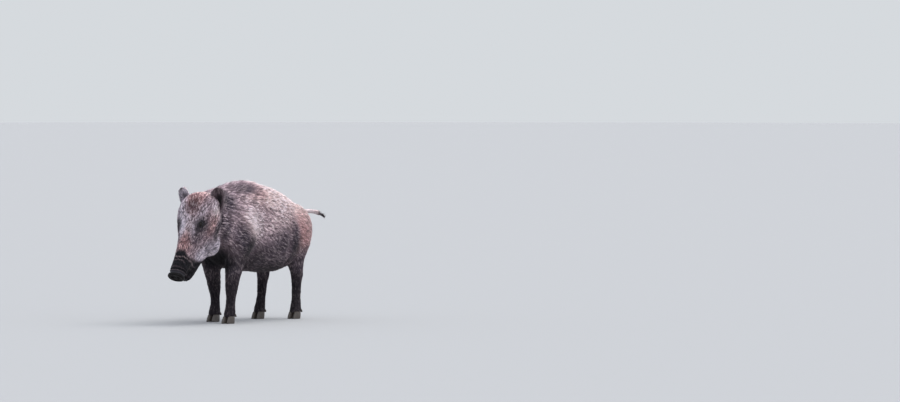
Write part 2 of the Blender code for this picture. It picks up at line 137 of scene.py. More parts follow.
def make_room():
    mesh = bpy.data.meshes.new("floor")
    reworked(mesh, lambda bm: bmesh.ops.create_circle(bm, cap_ends=True, segments=96, radius=FLOOR_RADIUS))
    paint, _, _ = new_material("floor_paint", 0.9, Base_Color=FLOOR_PAINT)
    floor = add_object("floor", mesh, paint)
    world = bpy.data.worlds.new("studio")
    world.use_nodes = True
    tree = world.node_tree
    sky = tree.nodes["Background"]
    sky.inputs["Color"].default_value = SKY
    sky.inputs["Strength"].default_value = SKY_STRENGTH
    backdrop = node(tree, "ShaderNodeBackground", {"Color": BACKDROP})
    seen = node(tree, "ShaderNodeLightPath").outputs["Is Camera Ray"]
    either = node(tree, "ShaderNodeMixShader", {0: seen, 1: sky.outputs[0], 2: backdrop.outputs[0]})
    tree.links.new(either.outputs[0], tree.nodes["World Output"].inputs["Surface"])
    bpy.context.scene.world = world
    bpy.context.scene.view_settings.view_transform = "Standard"


# Soft lamps: the way to the lamp, how wide it is in degrees, and its strength. The small one, narrower
# than GLINT_UP_TO, only glints on wet eyes and snout.
LAMPS = {
    "overhead_lamp": ((0.25, 0.45, 1.0), 55, 3.3),
    "front_lamp": ((0.9, -0.9, 0.9), 70, 0.45),
    "glint_lamp": ((0.75, -0.75, 1.0), 9, 0.8),
}
GLINT_UP_TO = 20


def make_lamps():
    for name, (toward, spread, strength) in LAMPS.items():
        data = bpy.data.lights.new(name, "SUN")
        data.angle = radians(spread)
        data.energy = strength
        lamp = add_object(name, data)
        lamp.location = Vector(toward) * 4
        lamp.rotation_mode = "QUATERNION"
        lamp.rotation_quaternion = Vector(toward).to_track_quat("Z", "Y")
        lamp.visible_glossy = spread < GLINT_UP_TO
        lamp.visible_diffuse = spread > GLINT_UP_TO


# ---------------------------------------------------------------- meshes as arrays


def add_object(name, data, *materials):
    made = bpy.data.objects.new(name, data)
    bpy.context.scene.collection.objects.link(made)
    for material in materials:
        data.materials.append(material)
    return made


def reworked(mesh, change):
    """Does change(bm) to a mesh."""
    bm = bmesh.new()
    bm.from_mesh(mesh)
    change(bm)
    bm.to_mesh(mesh)
    bm.free()


def mesh_from(name, points, triangles):
    mesh = bpy.data.meshes.new(name)
    mesh.vertices.add(len(points))
    mesh.vertices.foreach_set("co", np.asarray(points, np.float32).ravel())
    mesh.loops.add(triangles.size)
    mesh.loops.foreach_set("vertex_index", triangles.ravel().astype(np.int32))
    mesh.polygons.add(len(triangles))
    mesh.polygons.foreach_set("loop_start", np.arange(0, triangles.size, 3, dtype=np.int32))
    mesh.polygons.foreach_set("use_smooth", np.ones(len(triangles), bool))
    mesh.update(calc_edges=True)
    return mesh


def field_of(items, name, each, kind=np.float32):
    """A field of mesh items that holds so many numbers for each, as a flat array."""
    found = np.empty(len(items) * each, kind)
    items.foreach_get(name, found)
    return found


def points_of(mesh):
    return field_of(mesh.vertices, "co", 3).reshape(-1, 3).astype(float)


def normals_of(mesh):
    return field_of(mesh.vertex_normals, "vector", 3).reshape(-1, 3).astype(float)


def edges_of(mesh):
    return field_of(mesh.edges, "vertices", 2, np.int32).reshape(-1, 2)


def triangles_of(mesh):
    return field_of(mesh.loops, "vertex_index", 1, np.int32).reshape(-1, 3)


def set_points(mesh, points):
    mesh.vertices.foreach_set("co", points.astype(np.float32).ravel())
    mesh.update()


def eased(values, edges, rounds, give_back=0.0):
    """Values at the vertices drawn half way to their neighbours'. give_back keeps a form's size."""
    one, other = edges.T
    count = np.maximum(np.bincount(edges.ravel(), minlength=len(values)), 1)[:, None]
    values = values.copy()
    for _ in range(rounds):
        for amount in (0.5, -give_back) if give_back else (0.5,):
            total = np.empty_like(values)
            for k in range(values.shape[1]):
                column = values[:, k]
                total[:, k] = np.bincount(one, column[other], len(values))
                total[:, k] += np.bincount(other, column[one], len(values))
            values += amount * (total / count - values)
    return values


def give(mesh, name, values):
    """A number at each vertex that the materials read."""
    made = mesh.attributes.new(name, "FLOAT", "POINT")
    made.data.foreach_set("value", np.asarray(values, np.float32))


def give_map(mesh, spots):
    """The map that colours are baked on, corner by corner."""
    layer = mesh.uv_layers.new(name="OFBake", do_init=False)
    layer.uv.foreach_set("vector", spots.astype(np.float32).ravel())


def face_crosses(points, faces):
    """A vector out of each face, twice as long as its area."""
    corner = points[faces]
    return np.cross(corner[:, 1] - corner[:, 0], corner[:, 2] - corner[:, 0])


def turns(count):
    """Cosines and sines once round a circle."""
    angles = np.linspace(0, 2 * pi, count, endpoint=False)
    return np.cos(angles), np.sin(angles)


def squared(values, power):
    """Cosines or sines moved from a circle's towards a square's."""
    return np.sign(values) * np.abs(values) ** (2 / power)


def ring_faces(rings, size):
    """Triangles along a tube of rings of size points."""
    ring, k = np.meshgrid(np.arange(rings - 1), np.arange(size), indexing="ij")
    a, b = ring * size + k, ring * size + (k + 1) % size
    halves = np.stack((a, b, b + size), -1), np.stack((a, b + size, a + size), -1)
    return np.concatenate(halves).reshape(-1, 3)


def closed_faces(rings, size):
    """The same, and fans at both ends to two points that follow the rings."""
    first, last = rings * size, (rings - 1) * size
    fans = [(first, (k + 1) % size, k) for k in range(size)]
    fans += [(first + 1, last + k, last + (k + 1) % size) for k in range(size)]
    return np.concatenate((ring_faces(rings, size), np.array(fans)))


# ---------------------------------------------------------------- skin

FLESH = (
    "head", "lower_jaw", "neck", "trunk", "tail", "tail_tuft",
    "foreleg_left", "foreleg_right", "hindleg_left", "hindleg_right",
)
# The grid that the flesh is melted on, how much its solids grow to meet, and what counts as one point
SKIN_GRID, MEET, WELD = 4.5 * MM, 0.9 * MM, 0.01 * MM
EYE_ALONG, EYE_ASIDE, EYE_OUTWARDS = 0.176, 0.0570, -0.0155
EYE_RADIUS = 13 * MM


def flesh_form():
    """The flesh solids, each grown until it meets the next, melted into one even mesh."""
    bm = bmesh.new()
    for name in (*FLESH, "eye_left", "eye_right"):
        piece = bmesh.new()
        piece.from_mesh(NODES[name].data)
        bmesh.ops.remove_doubles(piece, verts=piece.verts, dist=WELD)
        piece.normal_update()
        for vert in piece.verts:
            vert.co += vert.normal * MEET
        grown = bpy.data.meshes.new("grown")
        piece.to_mesh(grown)
        piece.free()
        bm.from_mesh(grown)
    joined = bpy.data.meshes.new("joined_flesh")
    bm.to_mesh(joined)
    bm.free()
    form = add_object("joined_flesh", joined)
    remesh = form.modifiers.new("melt", "REMESH")
    remesh.mode = "VOXEL"
    remesh.voxel_size = SKIN_GRID
    graph = bpy.context.evaluated_depsgraph_get()
    melted = bpy.data.meshes.new_from_object(form.evaluated_get(graph))
    bpy.data.objects.remove(form)
    return melted


def refine(mesh, near):
    """Faces halved where near(points) is true."""
    close = near(points_of(mesh))

    def halve(bm):
        edges = [e for e in bm.edges if close[e.verts[0].index] and close[e.verts[1].index]]
        bmesh.ops.subdivide_edges(bm, edges=edges, cuts=1, use_grid_fill=True)

    reworked(mesh, halve)


def near_the_face(points):
    along, _, out = head_place(points)
    return (along > 0.10) & (out > -0.24) & (along < 0.50)


def near_fine_forms(points):
    along, aside, out = head_place(points)
    eye = np.linalg.norm(np.stack((along, aside, out), 1) - (EYE_ALONG, EYE_ASIDE, EYE_OUTWARDS), axis=1)
    return (eye < 0.034) | ((along > 0.385) & (along < 0.50) & (out > -0.15))


# Half the length of the gap between the lids, and its height above and below its middle, in degrees
# round the eyeball
LID_HALF_LENGTH, LID_UPPER, LID_LOWER = 62, 50, 38
# How far the lids stand off the eyeball, and their rim off them, and how deep the fold above them is
LID_HEIGHT, LID_RIM, LID_FOLD = 1.6 * MM, 1.2 * MM, 1.6 * MM


def eye_frame(side):
    """An eye's centre, and the ways out of it, forwards along the lids, and up across them."""
    out = unit(LEFT * side * 0.80 + BROW * 0.58 + FACE * 0.10)
    along = FACE * 0.96 - UP * 0.10
    along = unit(along - out * (along @ out))
    up = np.cross(out, along) * -side
    return on_head(EYE_ALONG, side * EYE_ASIDE, EYE_OUTWARDS), out, along, up


def round_the_eye(points, side):
    """How points lie from an eye's centre: distance, way, degrees above the gap's middle line and
    beyond the edge of the lids, and how much of the way is outwards."""
    centre, out, along, up = eye_frame(side)
    radius = np.linalg.norm(points - centre, axis=1)
    toward = unit(points - centre)
    x, y, z = toward @ along, toward @ up, toward @ out
    turn = np.degrees(np.arctan2(x, z))
    height = np.degrees(np.arctan2(y, np.hypot(x, z)))
    reach = np.clip(1 - (turn / LID_HALF_LENGTH) ** 2, 0, 1)
    opening = np.where(height > 0, LID_UPPER, LID_LOWER) * reach**0.7
    beyond = np.maximum(np.abs(height) - opening, np.abs(turn) - LID_HALF_LENGTH - 2)
    return radius, toward, height, beyond, z


def shape_lids(points):
    """Lids over the eyeballs, with a gap between them and a fold above."""
    points = points.copy()
    for side in (-1, 1):
        centre = eye_frame(side)[0]
        near = np.linalg.norm(points - centre, axis=1) < 0.040
        radius, toward, height, beyond, z = round_the_eye(points[near], side)
        inside = EYE_RADIUS * 0.80
        lid = EYE_RADIUS + LID_HEIGHT + LID_RIM * swell(beyond - 13, 9)
        lid -= LID_FOLD * swell(beyond - 31, 7) * step(height, -10, 10)
        wanted = inside + (lid - inside) * step(beyond, -5, 3)
        share = (1 - step(beyond, 26, 62)) * step(z, 0.05, 0.35)
        share *= 1 - step(radius, 0.026, 0.038)
        points[near] = centre + toward * (radius + (wanted - radius) * share)[:, None]
    return points


def bare_lids(points):
    """1 on the rims of the eyelids and inside them."""
    bare = np.zeros(len(points))
    for side in (-1, 1):
        radius, _, _, beyond, z = round_the_eye(points, side)
        bare = np.maximum(bare, (1 - step(beyond, 8, 16)) * (radius < 0.022) * (z > 0))
    return bare


# How far outwards the mouth runs, by place along the face, its depth and its lip's height
MOUTH = ((0.285, -0.104), (0.32, -0.099), (0.425, -0.086), (0.485, -0.078))
MOUTH_DEPTH, LIP_HEIGHT = 3.6 * MM, 1.4 * MM
# Wrinkles across the nose: place along the face, lean, half width and depth
NOSE_WRINKLES = ((0.378, 0.25, 0.0035, 0.0012), (0.357, 0.35, 0.0040, 0.0010))
SNOUT_RING_SPACING, SNOUT_RING_HEIGHT = 12.5 * MM, 1.3 * MM
TROUGH_DEPTH, CHEEK_HEIGHT = 3.5 * MM, 4.0 * MM


def mouth_groove(along, aside, out):
    """The line of the mouth with its lip above."""
    off = out - np.interp(along, *zip(*MOUTH))
    within = step(along, 0.278, 0.300) * (1 - step(along, 0.455, 0.47)) * step(aside, 0.004, 0.014)
    return (LIP_HEIGHT * swell(off - 0.009, 0.0055) - MOUTH_DEPTH * swell(off, 0.0026)) * within


def snout_folds(along, aside, out):
    """Rings of folded skin behind the snout's disc and wrinkles behind them, deepest on top."""
    turn = (along - 0.437 + 0.10 * np.maximum(aside - 0.012, 0)) * 2 * pi / SNOUT_RING_SPACING
    folds = SNOUT_RING_HEIGHT * np.cos(turn) * step(along, 0.398, 0.420) * (1 - step(along, 0.446, 0.452))
    for start, lean, width, depth in NOSE_WRINKLES:
        folds -= depth * swell(along - start + lean * aside, width)
    return folds * step(out, -0.085, -0.03)


def eye_trough(along, aside, out):
    """The trough that runs down from the eye's front corner."""
    across = swell(aside - 0.055, 0.010) * swell(out + 0.024 + 0.30 * (along - 0.20), 0.012)
    return -TROUGH_DEPTH * across * step(along, 0.186, 0.200) * (1 - step(along, 0.235, 0.29))


def cheek_muscle(along, aside, out):
    return CHEEK_HEIGHT * swell(along - 0.205, 0.050) * swell(out + 0.105, 0.040) * swell(aside - 0.090, 0.05)


def head_carving(points):
    """How far the head's skin stands in or out for its forms, in metres."""
    place = head_place(points)
    return sum(form(*place) for form in (mouth_groove, snout_folds, eye_trough, cheek_muscle))


# Soft folds and swells of the body, on both sides: start, end, half width, how far out
FOLDS = {
    "before_the_thigh": ((0.155, 0.130, 0.470), (0.135, 0.125, 0.300), 0.026, -0.0095),
    "flank_fold": ((0.160, 0.085, 0.440), (0.140, 0.070, 0.290), 0.022, 0.0050),
    "behind_the_shoulder": ((0.140, -0.170, 0.520), (0.120, -0.150, 0.300), 0.030, -0.0080),
    "before_the_shoulder": ((0.120, -0.290, 0.520), (0.130, -0.280, 0.390), 0.024, -0.0060),
    "behind_the_jowl": ((0.098, -0.425, 0.530), (0.070, -0.405, 0.370), 0.018, -0.0100),
}


def body_carving(points):
    """How far the body's skin stands in or out for its folds, in metres."""
    places = mirrored(points)
    carve = np.zeros(len(points))
    for start, end, width, depth in FOLDS.values():
        run = np.subtract(end, start)
        t = np.clip((places - start) @ run / (run @ run), 0, 1)
        away = np.linalg.norm(places - start - t[:, None] * run, axis=1)
        carve += depth * swell(away, width) * np.minimum(1, 1.5 * (1 - (2 * t - 1) ** 4) + 0.15)
    return carve


EAR_BASE = np.array((0.078, -0.430, 0.555))
EAR_TIP = np.array((0.103, -0.452, 0.661))
EAR_OPENING = np.array((0.30, -0.93, 0.10))
EAR_HALF_WIDTH, EAR_CUP, EAR_THICKNESS = 36 * MM, 20 * MM, 6 * MM
# How far the rim waves near the tip, as a share of the length
EAR_WAVE = 0.012
EAR_RINGS, EAR_POINTS = 34, 56
# From base to tip: share of the length, of the half width and of the cup
EAR_SHAPE = (
    (-0.16, 0.50, 0.60),
    (-0.02, 0.66, 0.80),
    (0.17, 0.86, 1.00),
    (0.36, 1.00, 1.05),
    (0.56, 1.02, 1.00),
    (0.74, 0.94, 0.92),
    (0.87, 0.78, 0.82),
    (0.95, 0.56, 0.74),
    (0.985, 0.36, 0.70),
)


def ear_faces():
    """Triangles round the ear, a fan in its root, and strips between the sides of its cupped tip. The
    rings turn against the way to the tip, so the triangles are turned round."""
    count, half = EAR_RINGS * EAR_POINTS, EAR_POINTS // 2
    ends = [(count, (k + 1) % EAR_POINTS, k) for k in range(EAR_POINTS)]
    last = count - EAR_POINTS
    front, back = last + np.arange(half + 1), last + (-np.arange(half + 1)) % EAR_POINTS
    for k in range(half):
        ends += [(front[k], front[k + 1], back[k + 1])] * (k < half - 1)
        ends += [(front[k], back[k + 1], back[k])] * (k > 0)
    return np.concatenate((ring_faces(EAR_RINGS, EAR_POINTS), np.array(ends)))[:, ::-1]


def ear_shell(side):
    """A cupped leaf, open forwards and outwards: its points, faces and the way to its tip. Also, for
    each point, the share of that way, how far it faces into the cup, and how near the front edge."""
    base, tip = EAR_BASE * (side, 1, 1), EAR_TIP * (side, 1, 1)
    along = tip - base
    opening = EAR_OPENING * (side, 1, 1)
    opening = unit(opening - along * (opening @ along) / (along @ along))
    across = np.cross(unit(along), opening)
    shares, widths, cups = np.array(EAR_SHAPE).T
    angles = np.linspace(0, 2 * pi, EAR_POINTS, endpoint=False)
    c, s = np.cos(angles), np.sin(angles)
    points, facts = [], []
    for share in np.linspace(shares[0], shares[-1], EAR_RINGS):
        width, cup = np.interp(share, shares, widths), np.interp(share, shares, cups)
        thick = EAR_THICKNESS * (0.55 + 0.45 * (1 - share))
        curl = EAR_CUP * cup * (c * c - 0.5)
        leaf = np.outer(EAR_HALF_WIDTH * width * c, across) + np.outer(curl + s * thick / 2, opening)
        leaf += along * (EAR_WAVE * np.sin(3 * angles)[:, None] * step(share, 0.5, 1))
        points.append(base + along * share + leaf)
        facts.append(np.stack((np.full(EAR_POINTS, share), s, c), 1))
    points = np.concatenate((*points, (base + along * shares[0])[None]))
    facts = np.concatenate((*facts, np.array(((shares[0], 0, 0),))))
    return points, ear_faces(), facts, unit(along)


# The coat by place, on both sides of the body: where, then how long its hairs are, how far it stands
# off the skin and how wide a tuft is, in millimetres
COAT_PLACES = {
    "nape": ((0.0, -0.380, 0.650), 46, 11, 1.7),
    "mane": ((0.0, -0.230, 0.672), 60, 17, 1.8),
    "withers": ((0.0, -0.090, 0.690), 58, 17, 1.8),
    "back": ((0.0, 0.080, 0.668), 50, 14, 1.7),
    "croup": ((0.0, 0.270, 0.605), 46, 12, 1.7),
    "rump": ((0.0, 0.430, 0.470), 36, 8, 1.6),
    "high_side": ((0.120, 0.000, 0.600), 42, 10, 1.7),
    "neck": ((0.115, -0.300, 0.540), 38, 9, 1.6),
    "shoulder": ((0.150, -0.200, 0.470), 36, 8, 1.6),
    "ribs": ((0.160, 0.050, 0.470), 36, 8, 1.6),
    "flank": ((0.150, 0.170, 0.400), 36, 8, 1.6),
    "thigh": ((0.140, 0.300, 0.440), 30, 7, 1.6),
    "back_of_thigh": ((0.090, 0.400, 0.380), 30, 7, 1.6),
    "belly": ((0.060, 0.050, 0.240), 36, 8, 1.9),
    "chest": ((0.050, -0.300, 0.360), 38, 8, 1.9),
    "elbow": ((0.120, -0.230, 0.320), 26, 6, 1.6),
    "stifle": ((0.110, 0.270, 0.290), 26, 6, 1.6),
    "forearm": ((0.087, -0.270, 0.200), 15, 3.2, 2.2),
    "gaskin": ((0.075, 0.300, 0.200), 16, 3.2, 2.2),
    "fore_pastern": ((0.085, -0.270, 0.080), 12, 2.4, 2.0),
    "hind_pastern": ((0.075, 0.260, 0.080), 12, 2.4, 2.0),
    "crown": (on_head(0.02, 0.0, 0.0), 20, 4.0, 2.2),
    "forehead": (on_head(0.10, 0.0, 0.012), 13, 2.6, 1.9),
    "temple": (on_head(0.06, 0.095, -0.060), 18, 3.6, 2.1),
    "brow": (on_head(0.155, 0.050, -0.005), 9, 1.8, 1.6),
    "cheek": (on_head(0.190, 0.085, -0.100), 14, 2.8, 1.9),
    "jowl": (on_head(0.150, 0.080, -0.180), 20, 3.8, 2.2),
    "throat": (on_head(0.150, 0.0, -0.215), 22, 4.2, 2.4),
    "nose_bridge": (on_head(0.270, 0.0, -0.004), 8, 1.6, 1.5),
    "lip": (on_head(0.330, 0.045, -0.080), 8, 1.6, 1.5),
    "under_jaw": (on_head(0.340, 0.020, -0.150), 11, 2.2, 1.7),
    "muzzle": (on_head(0.400, 0.035, -0.030), 5, 1.2, 1.2),
    "chin": (on_head(0.430, 0.015, -0.115), 8, 1.4, 1.4),
    "tail_root": ((0.0, 0.480, 0.512), 16, 3.0, 2.0),
    "tail": ((0.0, 0.560, 0.513), 9, 1.8, 1.6),
}
# How fast a place's say over the coat falls with distance, and from how near
NEARNESS, NEAREST = 5.0, 12 * MM


def coat_at(points):
    """Hair length, coat depth and tuft width at points, in metres."""
    total = np.zeros(len(points))
    found = np.zeros((len(points), 3))
    for where, *values in COAT_PLACES.values():
        away = np.linalg.norm(mirrored(points) - np.array(where), axis=1)
        weight = 1 / (away + NEAREST) ** NEARNESS
        total += weight
        found += weight[:, None] * np.array(values) * MM
    return found / total[:, None]


# Where the head's coat ends, as height and y
NECK_LINE = ((0.30, -0.395), (0.72, -0.430))


def head_share(points):
    """1 on the head, 0 on the neck."""
    line = np.interp(points[:, 2], *zip(*NECK_LINE))
    return step(line - points[:, 1], -0.03, 0.04)


def tail_share(points, start=0.455, end=0.50, low=0.46, high=0.49):
    """1 on the tail, 0 on the rump."""
    return step(points[:, 1], start, end) * step(points[:, 2], low, high)


# The ways in which hairs lie on the back, and what the sides and the rump add to it
BACK_LIE, SIDES_ADD, RUMP_ADDS = (0, 1.0, -0.06), (0, 0, -0.40), (0, -0.55, -1.2)
BELLY_LIE, LEG_LIE, CHEST_LIE, TAIL_LIE = (0, 0.9, 0.05), (0, 0.12, -1.0), (0, 0.25, -1.0), (0, 1.0, -0.05)


def lie_of_the_coat(points, normals):
    """The direction in which hairs lie, along the skin."""
    x, y, z = points.T
    aside = np.abs(x)
    lie = BACK_LIE + step(aside, 0.03, 0.12)[:, None] * SIDES_ADD + step(y, 0.26, 0.42)[:, None] * RUMP_ADDS
    lie = blend(lie, BELLY_LIE, 1 - step(z, 0.27, 0.36))
    between_legs = (y > -0.13) & (y < 0.11)
    lie = blend(lie, LEG_LIE, (1 - step(z, 0.27, 0.37)) * step(aside, 0.035, 0.055) * ~between_legs)
    on_chest = step(-y, 0.24, 0.30) * step(0.06 - aside, 0, 0.03) * (1 - step(z, 0.40, 0.50))
    lie = blend(lie, CHEST_LIE, on_chest)
    along, _, out = head_place(points)
    low = step(-out, 0.05, 0.16)[:, None]
    spread = 0.20 * np.where(x < 0, -1.0, 1.0) * step(along, 0.2, 0.05)
    face = -FACE + low * (-0.45 * BROW + 0.15 * FACE) + spread[:, None] * LEFT
    lie = blend(lie, face, head_share(points))
    lie = blend(lie, TAIL_LIE, tail_share(points, 0.45, 0.48, 0.45, 0.48) * (1 - step(aside, 0.03, 0.045)))
    return unit(lie - normals * dot(lie, normals))


# ---------------------------------------------------------------- markings

MARK_NAMES = ("beige", "sand", "russet", "dusk", "ash", "soot")
# Soft patches of colour on both sides: place, half sizes and strength, with lengths in millimetres.
# Body places are x, y, z.
BODY_MARKS = {
    "beige": (
        ((30, 40, 670), (120, 110, 70), 0.6),
        ((50, 210, 620), (140, 170, 100), 1.1),
        ((60, 390, 560), (140, 120, 100), 1.2),
        ((100, 10, 600), (60, 130, 55), 0.7),
        ((110, 240, 520), (80, 110, 60), 0.7),
        # Painted rim light along the back of the rump.
        ((60, 430, 450), (100, 60, 110), 0.9),
        ((145, 30, 490), (60, 130, 60), 0.28),
        ((140, 290, 460), (60, 60, 100), 0.5),
        ((105, -170, 602), (50, 100, 24), 0.28),
    ),
    "sand": (
        ((150, -214, 478), (70, 72, 78), 1),
        ((120, 345, 430), (50, 45, 120), 0.35),
    ),
    "russet": (
        ((150, 240, 420), (90, 95, 130), 0.9),
        ((110, 350, 470), (90, 100, 110), 0.4),
        ((140, -280, 400), (50, 35, 110), 0.6),
        ((90, -80, 625), (70, 110, 50), 0.4),
    ),
    "dusk": (
        # Painted shadow behind the ear, on the nape.
        ((78, -360, 605), (50, 60, 64), 1.4),
        ((40, -240, 675), (100, 100, 36), 0.45),
        ((74, -195, 643), (60, 105, 22), 1),
        ((125, -315, 440), (60, 50, 60), 0.45),
        # Painted shade in the crease behind the jowl.
        ((98, -408, 465), (50, 44, 80), 1.3),
        ((145, -296, 415), (60, 46, 95), 1.3),
        # Painted shadow in the gap between the foreleg and the belly.
        ((150, -250, 362), (50, 45, 40), 0.8),
        ((150, -210, 385), (50, 60, 50), 0.9),
        ((130, -70, 330), (100, 130, 70), 0.85),
        ((150, 45, 385), (70, 90, 80), 0.95),
        # Painted shade in the groove before the thigh.
        ((155, 150, 390), (60, 36, 110), 1.1),
    ),
    "ash": (),
    "soot": (
        ((150, 20, 365), (70, 70, 50), 0.3),
        # Painted shadow in the gap between the foreleg and the belly.
        ((150, -245, 370), (50, 38, 60), 0.9),
        ((138, -296, 436), (50, 30, 45), 0.35),
        # Painted shade in the crease behind the jowl.
        ((92, -398, 432), (40, 28, 40), 0.4),
        ((140, -288, 345), (50, 40, 40), 0.55),
        # Painted shade in the groove before the thigh.
        ((150, 145, 360), (60, 20, 100), 0.5),
        ((120, 50, 245), (200, 260, 60), 0.8),
        # Painted shade on the chest between the forelegs.
        ((40, -320, 310), (90, 110, 85), 1.3),
        ((130, -140, 318), (100, 80, 60), 0.65),
        ((50, -395, 345), (40, 30, 45), 0.7),
        # Painted shadow behind the ear, on the nape.
        ((78, -376, 616), (50, 42, 38), 0.75),
        ((74, -190, 641), (60, 80, 18), 0.42),
        ((150, 178, 350), (50, 38, 64), 0.6),
    ),
}
# Head places are along, sideways, outwards.
HEAD_MARKS = {
    "beige": (
        ((3, 0, 0), (20, 100, 50), 0.8),
        ((160, 94, -60), (30, 16, 30), 0.35),
        ((205, 20, 0), (45, 26, 40), 0.45),
    ),
    "sand": (
        ((90, 104, -58), (26, 30, 28), 0.95),
    ),
    "russet": (
        ((80, 0, 10), (70, 56, 50), 1.3),
        ((10, 0, 0), (30, 90, 50), 0.35),
        ((165, 95, -70), (60, 30, 40), 0.75),
        ((290, 10, 0), (60, 34, 50), 0.85),
    ),
    "dusk": (
        ((90, 4, 10), (40, 24, 40), 0.62),
        ((112, 46, 0), (40, 40, 30), 0.45),
        ((246, 44, -30), (42, 26, 38), 0.95),
        ((322, 46, -50), (30, 24, 34), 0.4),
        ((60, 80, -20), (50, 24, 30), 0.38),
        ((215, 78, -90), (40, 30, 24), 0.12),
        # Painted shade in the crease behind the jowl.
        ((140, 98, -122), (85, 40, 27), 1.2),
        ((175, 112, -85), (60, 12, 45), 0.8),
        ((208, 95, -143), (35, 30, 24), 1),
        # Painted shadow in the hollow between the ear and the neck.
        ((48, 92, -105), (50, 40, 35), 0.9),
        ((182, 64, -17), (38, 34, 32), 1.15),
        # Painted shade where the jowl turns under.
        ((225, 50, -204), (45, 60, 16), 0.9),
        ((290, 45, -176), (40, 50, 16), 0.9),
    ),
    "ash": (
        ((66, 100, -34), (40, 20, 30), 0.22),
        ((110, 60, -2), (56, 22, 35), 0.26),
        ((168, 22, 10), (40, 34, 40), 0.24),
        ((205, 34, 0), (34, 20, 30), 0.5),
        ((268, 64, -130), (48, 42, 36), 0.95),
        ((312, 50, -110), (32, 34, 36), 1.15),
        ((238, 78, -160), (44, 44, 33), 1.05),
    ),
    "soot": (
        ((176, 64, -15), (18, 20, 20), 1.2),
        ((192, 62, -19), (30, 28, 26), 0.42),
        ((209, 53, -15), (22, 12, 18), 0.6),
        ((80, 14, 10), (45, 18, 30), 0.3),
        ((135, 85, -195), (40, 50, 22), 0.9),
        ((162, 88, -168), (36, 30, 17), 0.45),
        # Painted shade in the crease behind the jowl.
        ((168, 94, -120), (64, 28, 18), 0.7),
    ),
}
# Where the black of the muzzle begins along the face, by place outwards
MUZZLE_EDGE = ((-0.18, 0.26), (-0.13, 0.318), (-0.10, 0.338), (-0.05, 0.352), (0.0, 0.350))
# Pale wrinkles across the muzzle and rings above the disc, partly pale skin in the wrinkles and partly
# painted highlight on the folds:
# place along the face, lean, half width, strength and how far sideways they reach
PALE_LINES = (
    (0.361, 0.02, 0.0017, 1.0, 0.060),
    (0.375, 0.35, 0.0014, 0.7, 0.026),
    (0.416, 0.05, 0.0024, 0.30, 0.030),
    (0.4345, 0.05, 0.0024, 0.35, 0.034),
)
# From here on along the face they don't wave.
STRAIGHT_FROM = 0.4
# Dark colours of the legs: strength, full below this height and gone above that
DARK_LEGS = {"dusk": (0.9, 0.30, 0.40), "soot": (0.8, 0.16, 0.34)}
# Where the tail's dark end begins and is full, along y
TAIL_DARKENS = (0.598, 0.640)


def snout_lines(along, aside, out):
    """1 on the pale lines of the muzzle."""
    lines = np.zeros(len(along))
    wave = 0.0028 * np.sin(aside * 260 + out * 90) + 0.0012 * np.sin(aside * 640 + 1)
    sag = 0.12 * np.minimum(out + 0.03, 0)
    for start, lean, width, strength, far in PALE_LINES:
        off = along - start - lean * aside - wave * (start < STRAIGHT_FROM) + sag
        lines = np.maximum(lines, strength * swell(off, width) * (1 - step(aside, far, far + 0.012)))
    return lines * step(out, -0.13, -0.06)


def patches(marks, places):
    """How much of each colour its patches put at places."""
    found = {}
    for name in MARK_NAMES:
        clear = np.ones(len(places))
        for where, sizes, strength in marks[name]:
            off = (places - np.array(where) * MM) / (np.array(sizes) * MM)
            clear *= 1 - np.clip(strength * np.exp(-((off**2).sum(1) ** 1.2)), 0, 1)
        found[name] = 1 - clear
    return found


def markings(points):
    """How much of each coat colour there is at points."""
    along, aside, out = head_place(points)
    body = patches(BODY_MARKS, mirrored(points))
    head = patches(HEAD_MARKS, np.stack((along, aside, out), 1))
    # The right side of the face is greyer: painted light, for the light that falls on the far side from
    # behind.
    head["ash"] *= 2.4 - 1.65 * step(points[:, 0], -0.03, 0.02)
    up_the_bridge = (1 - step(aside, 0.018, 0.040)) * step(out, -0.05, -0.02)
    edge = np.interp(out, *zip(*MUZZLE_EDGE)) - 0.024 * up_the_bridge
    lines = snout_lines(along, aside, out)
    head["soot"] = np.maximum(head["soot"], step(along, edge - 0.012, edge + 0.012)) * (1 - 0.85 * lines)
    head["beige"] = np.maximum(head["beige"], lines)
    for name in ("ash", "russet", "dusk"):
        head[name] = head[name] * (1 - lines)
    share = head_share(points)
    found = {name: body[name] * (1 - share) + head[name] * share for name in MARK_NAMES}
    for name, (strength, dark_below, clear_above) in DARK_LEGS.items():
        legs = (1 - share) * (1 - step(points[:, 2], dark_below, clear_above))
        found[name] = np.maximum(found[name], strength * legs)
    tail = tail_share(points)
    tip = tail * step(points[:, 1], *TAIL_DARKENS)
    on_tail = {"sand": 1.0, "dusk": 0.9 * tip, "soot": 0.7 * tip}
    return {name: found[name] + (on_tail.get(name, 0.0) - found[name]) * tail for name in MARK_NAMES}


# ---------------------------------------------------------------- materials


def node(tree, kind, inputs=None, **settings):
    """A new node. Its inputs are values or the sockets that feed them."""
    made = tree.nodes.new(kind)
    for name, value in settings.items():
        setattr(made, name, value)
    for label, value in (inputs or {}).items():
        if isinstance(value, bpy.types.NodeSocket):
            tree.links.new(value, made.inputs[label])
        else:
            made.inputs[label].default_value = value
    return made


def colour_mix(tree, factor, first, second, kind="MIX"):
    inputs = {0: factor, 6: first, 7: second}
    return node(tree, "ShaderNodeMix", inputs, data_type="RGBA", blend_type=kind).outputs[2]


def arithmetic(tree, kind, *values, clamp=False):
    inputs = dict(enumerate(values))
    return node(tree, "ShaderNodeMath", inputs, operation=kind, use_clamp=clamp).outputs[0]


def grey(tree, value):
    """A number as a colour."""
    return node(tree, "ShaderNodeCombineColor", {0: value, 1: value, 2: value}).outputs[0]


def attribute(tree, name):
    return node(tree, "ShaderNodeAttribute", attribute_name=name).outputs["Fac"]


def object_place(tree):
    return node(tree, "ShaderNodeTexCoord").outputs["Object"]


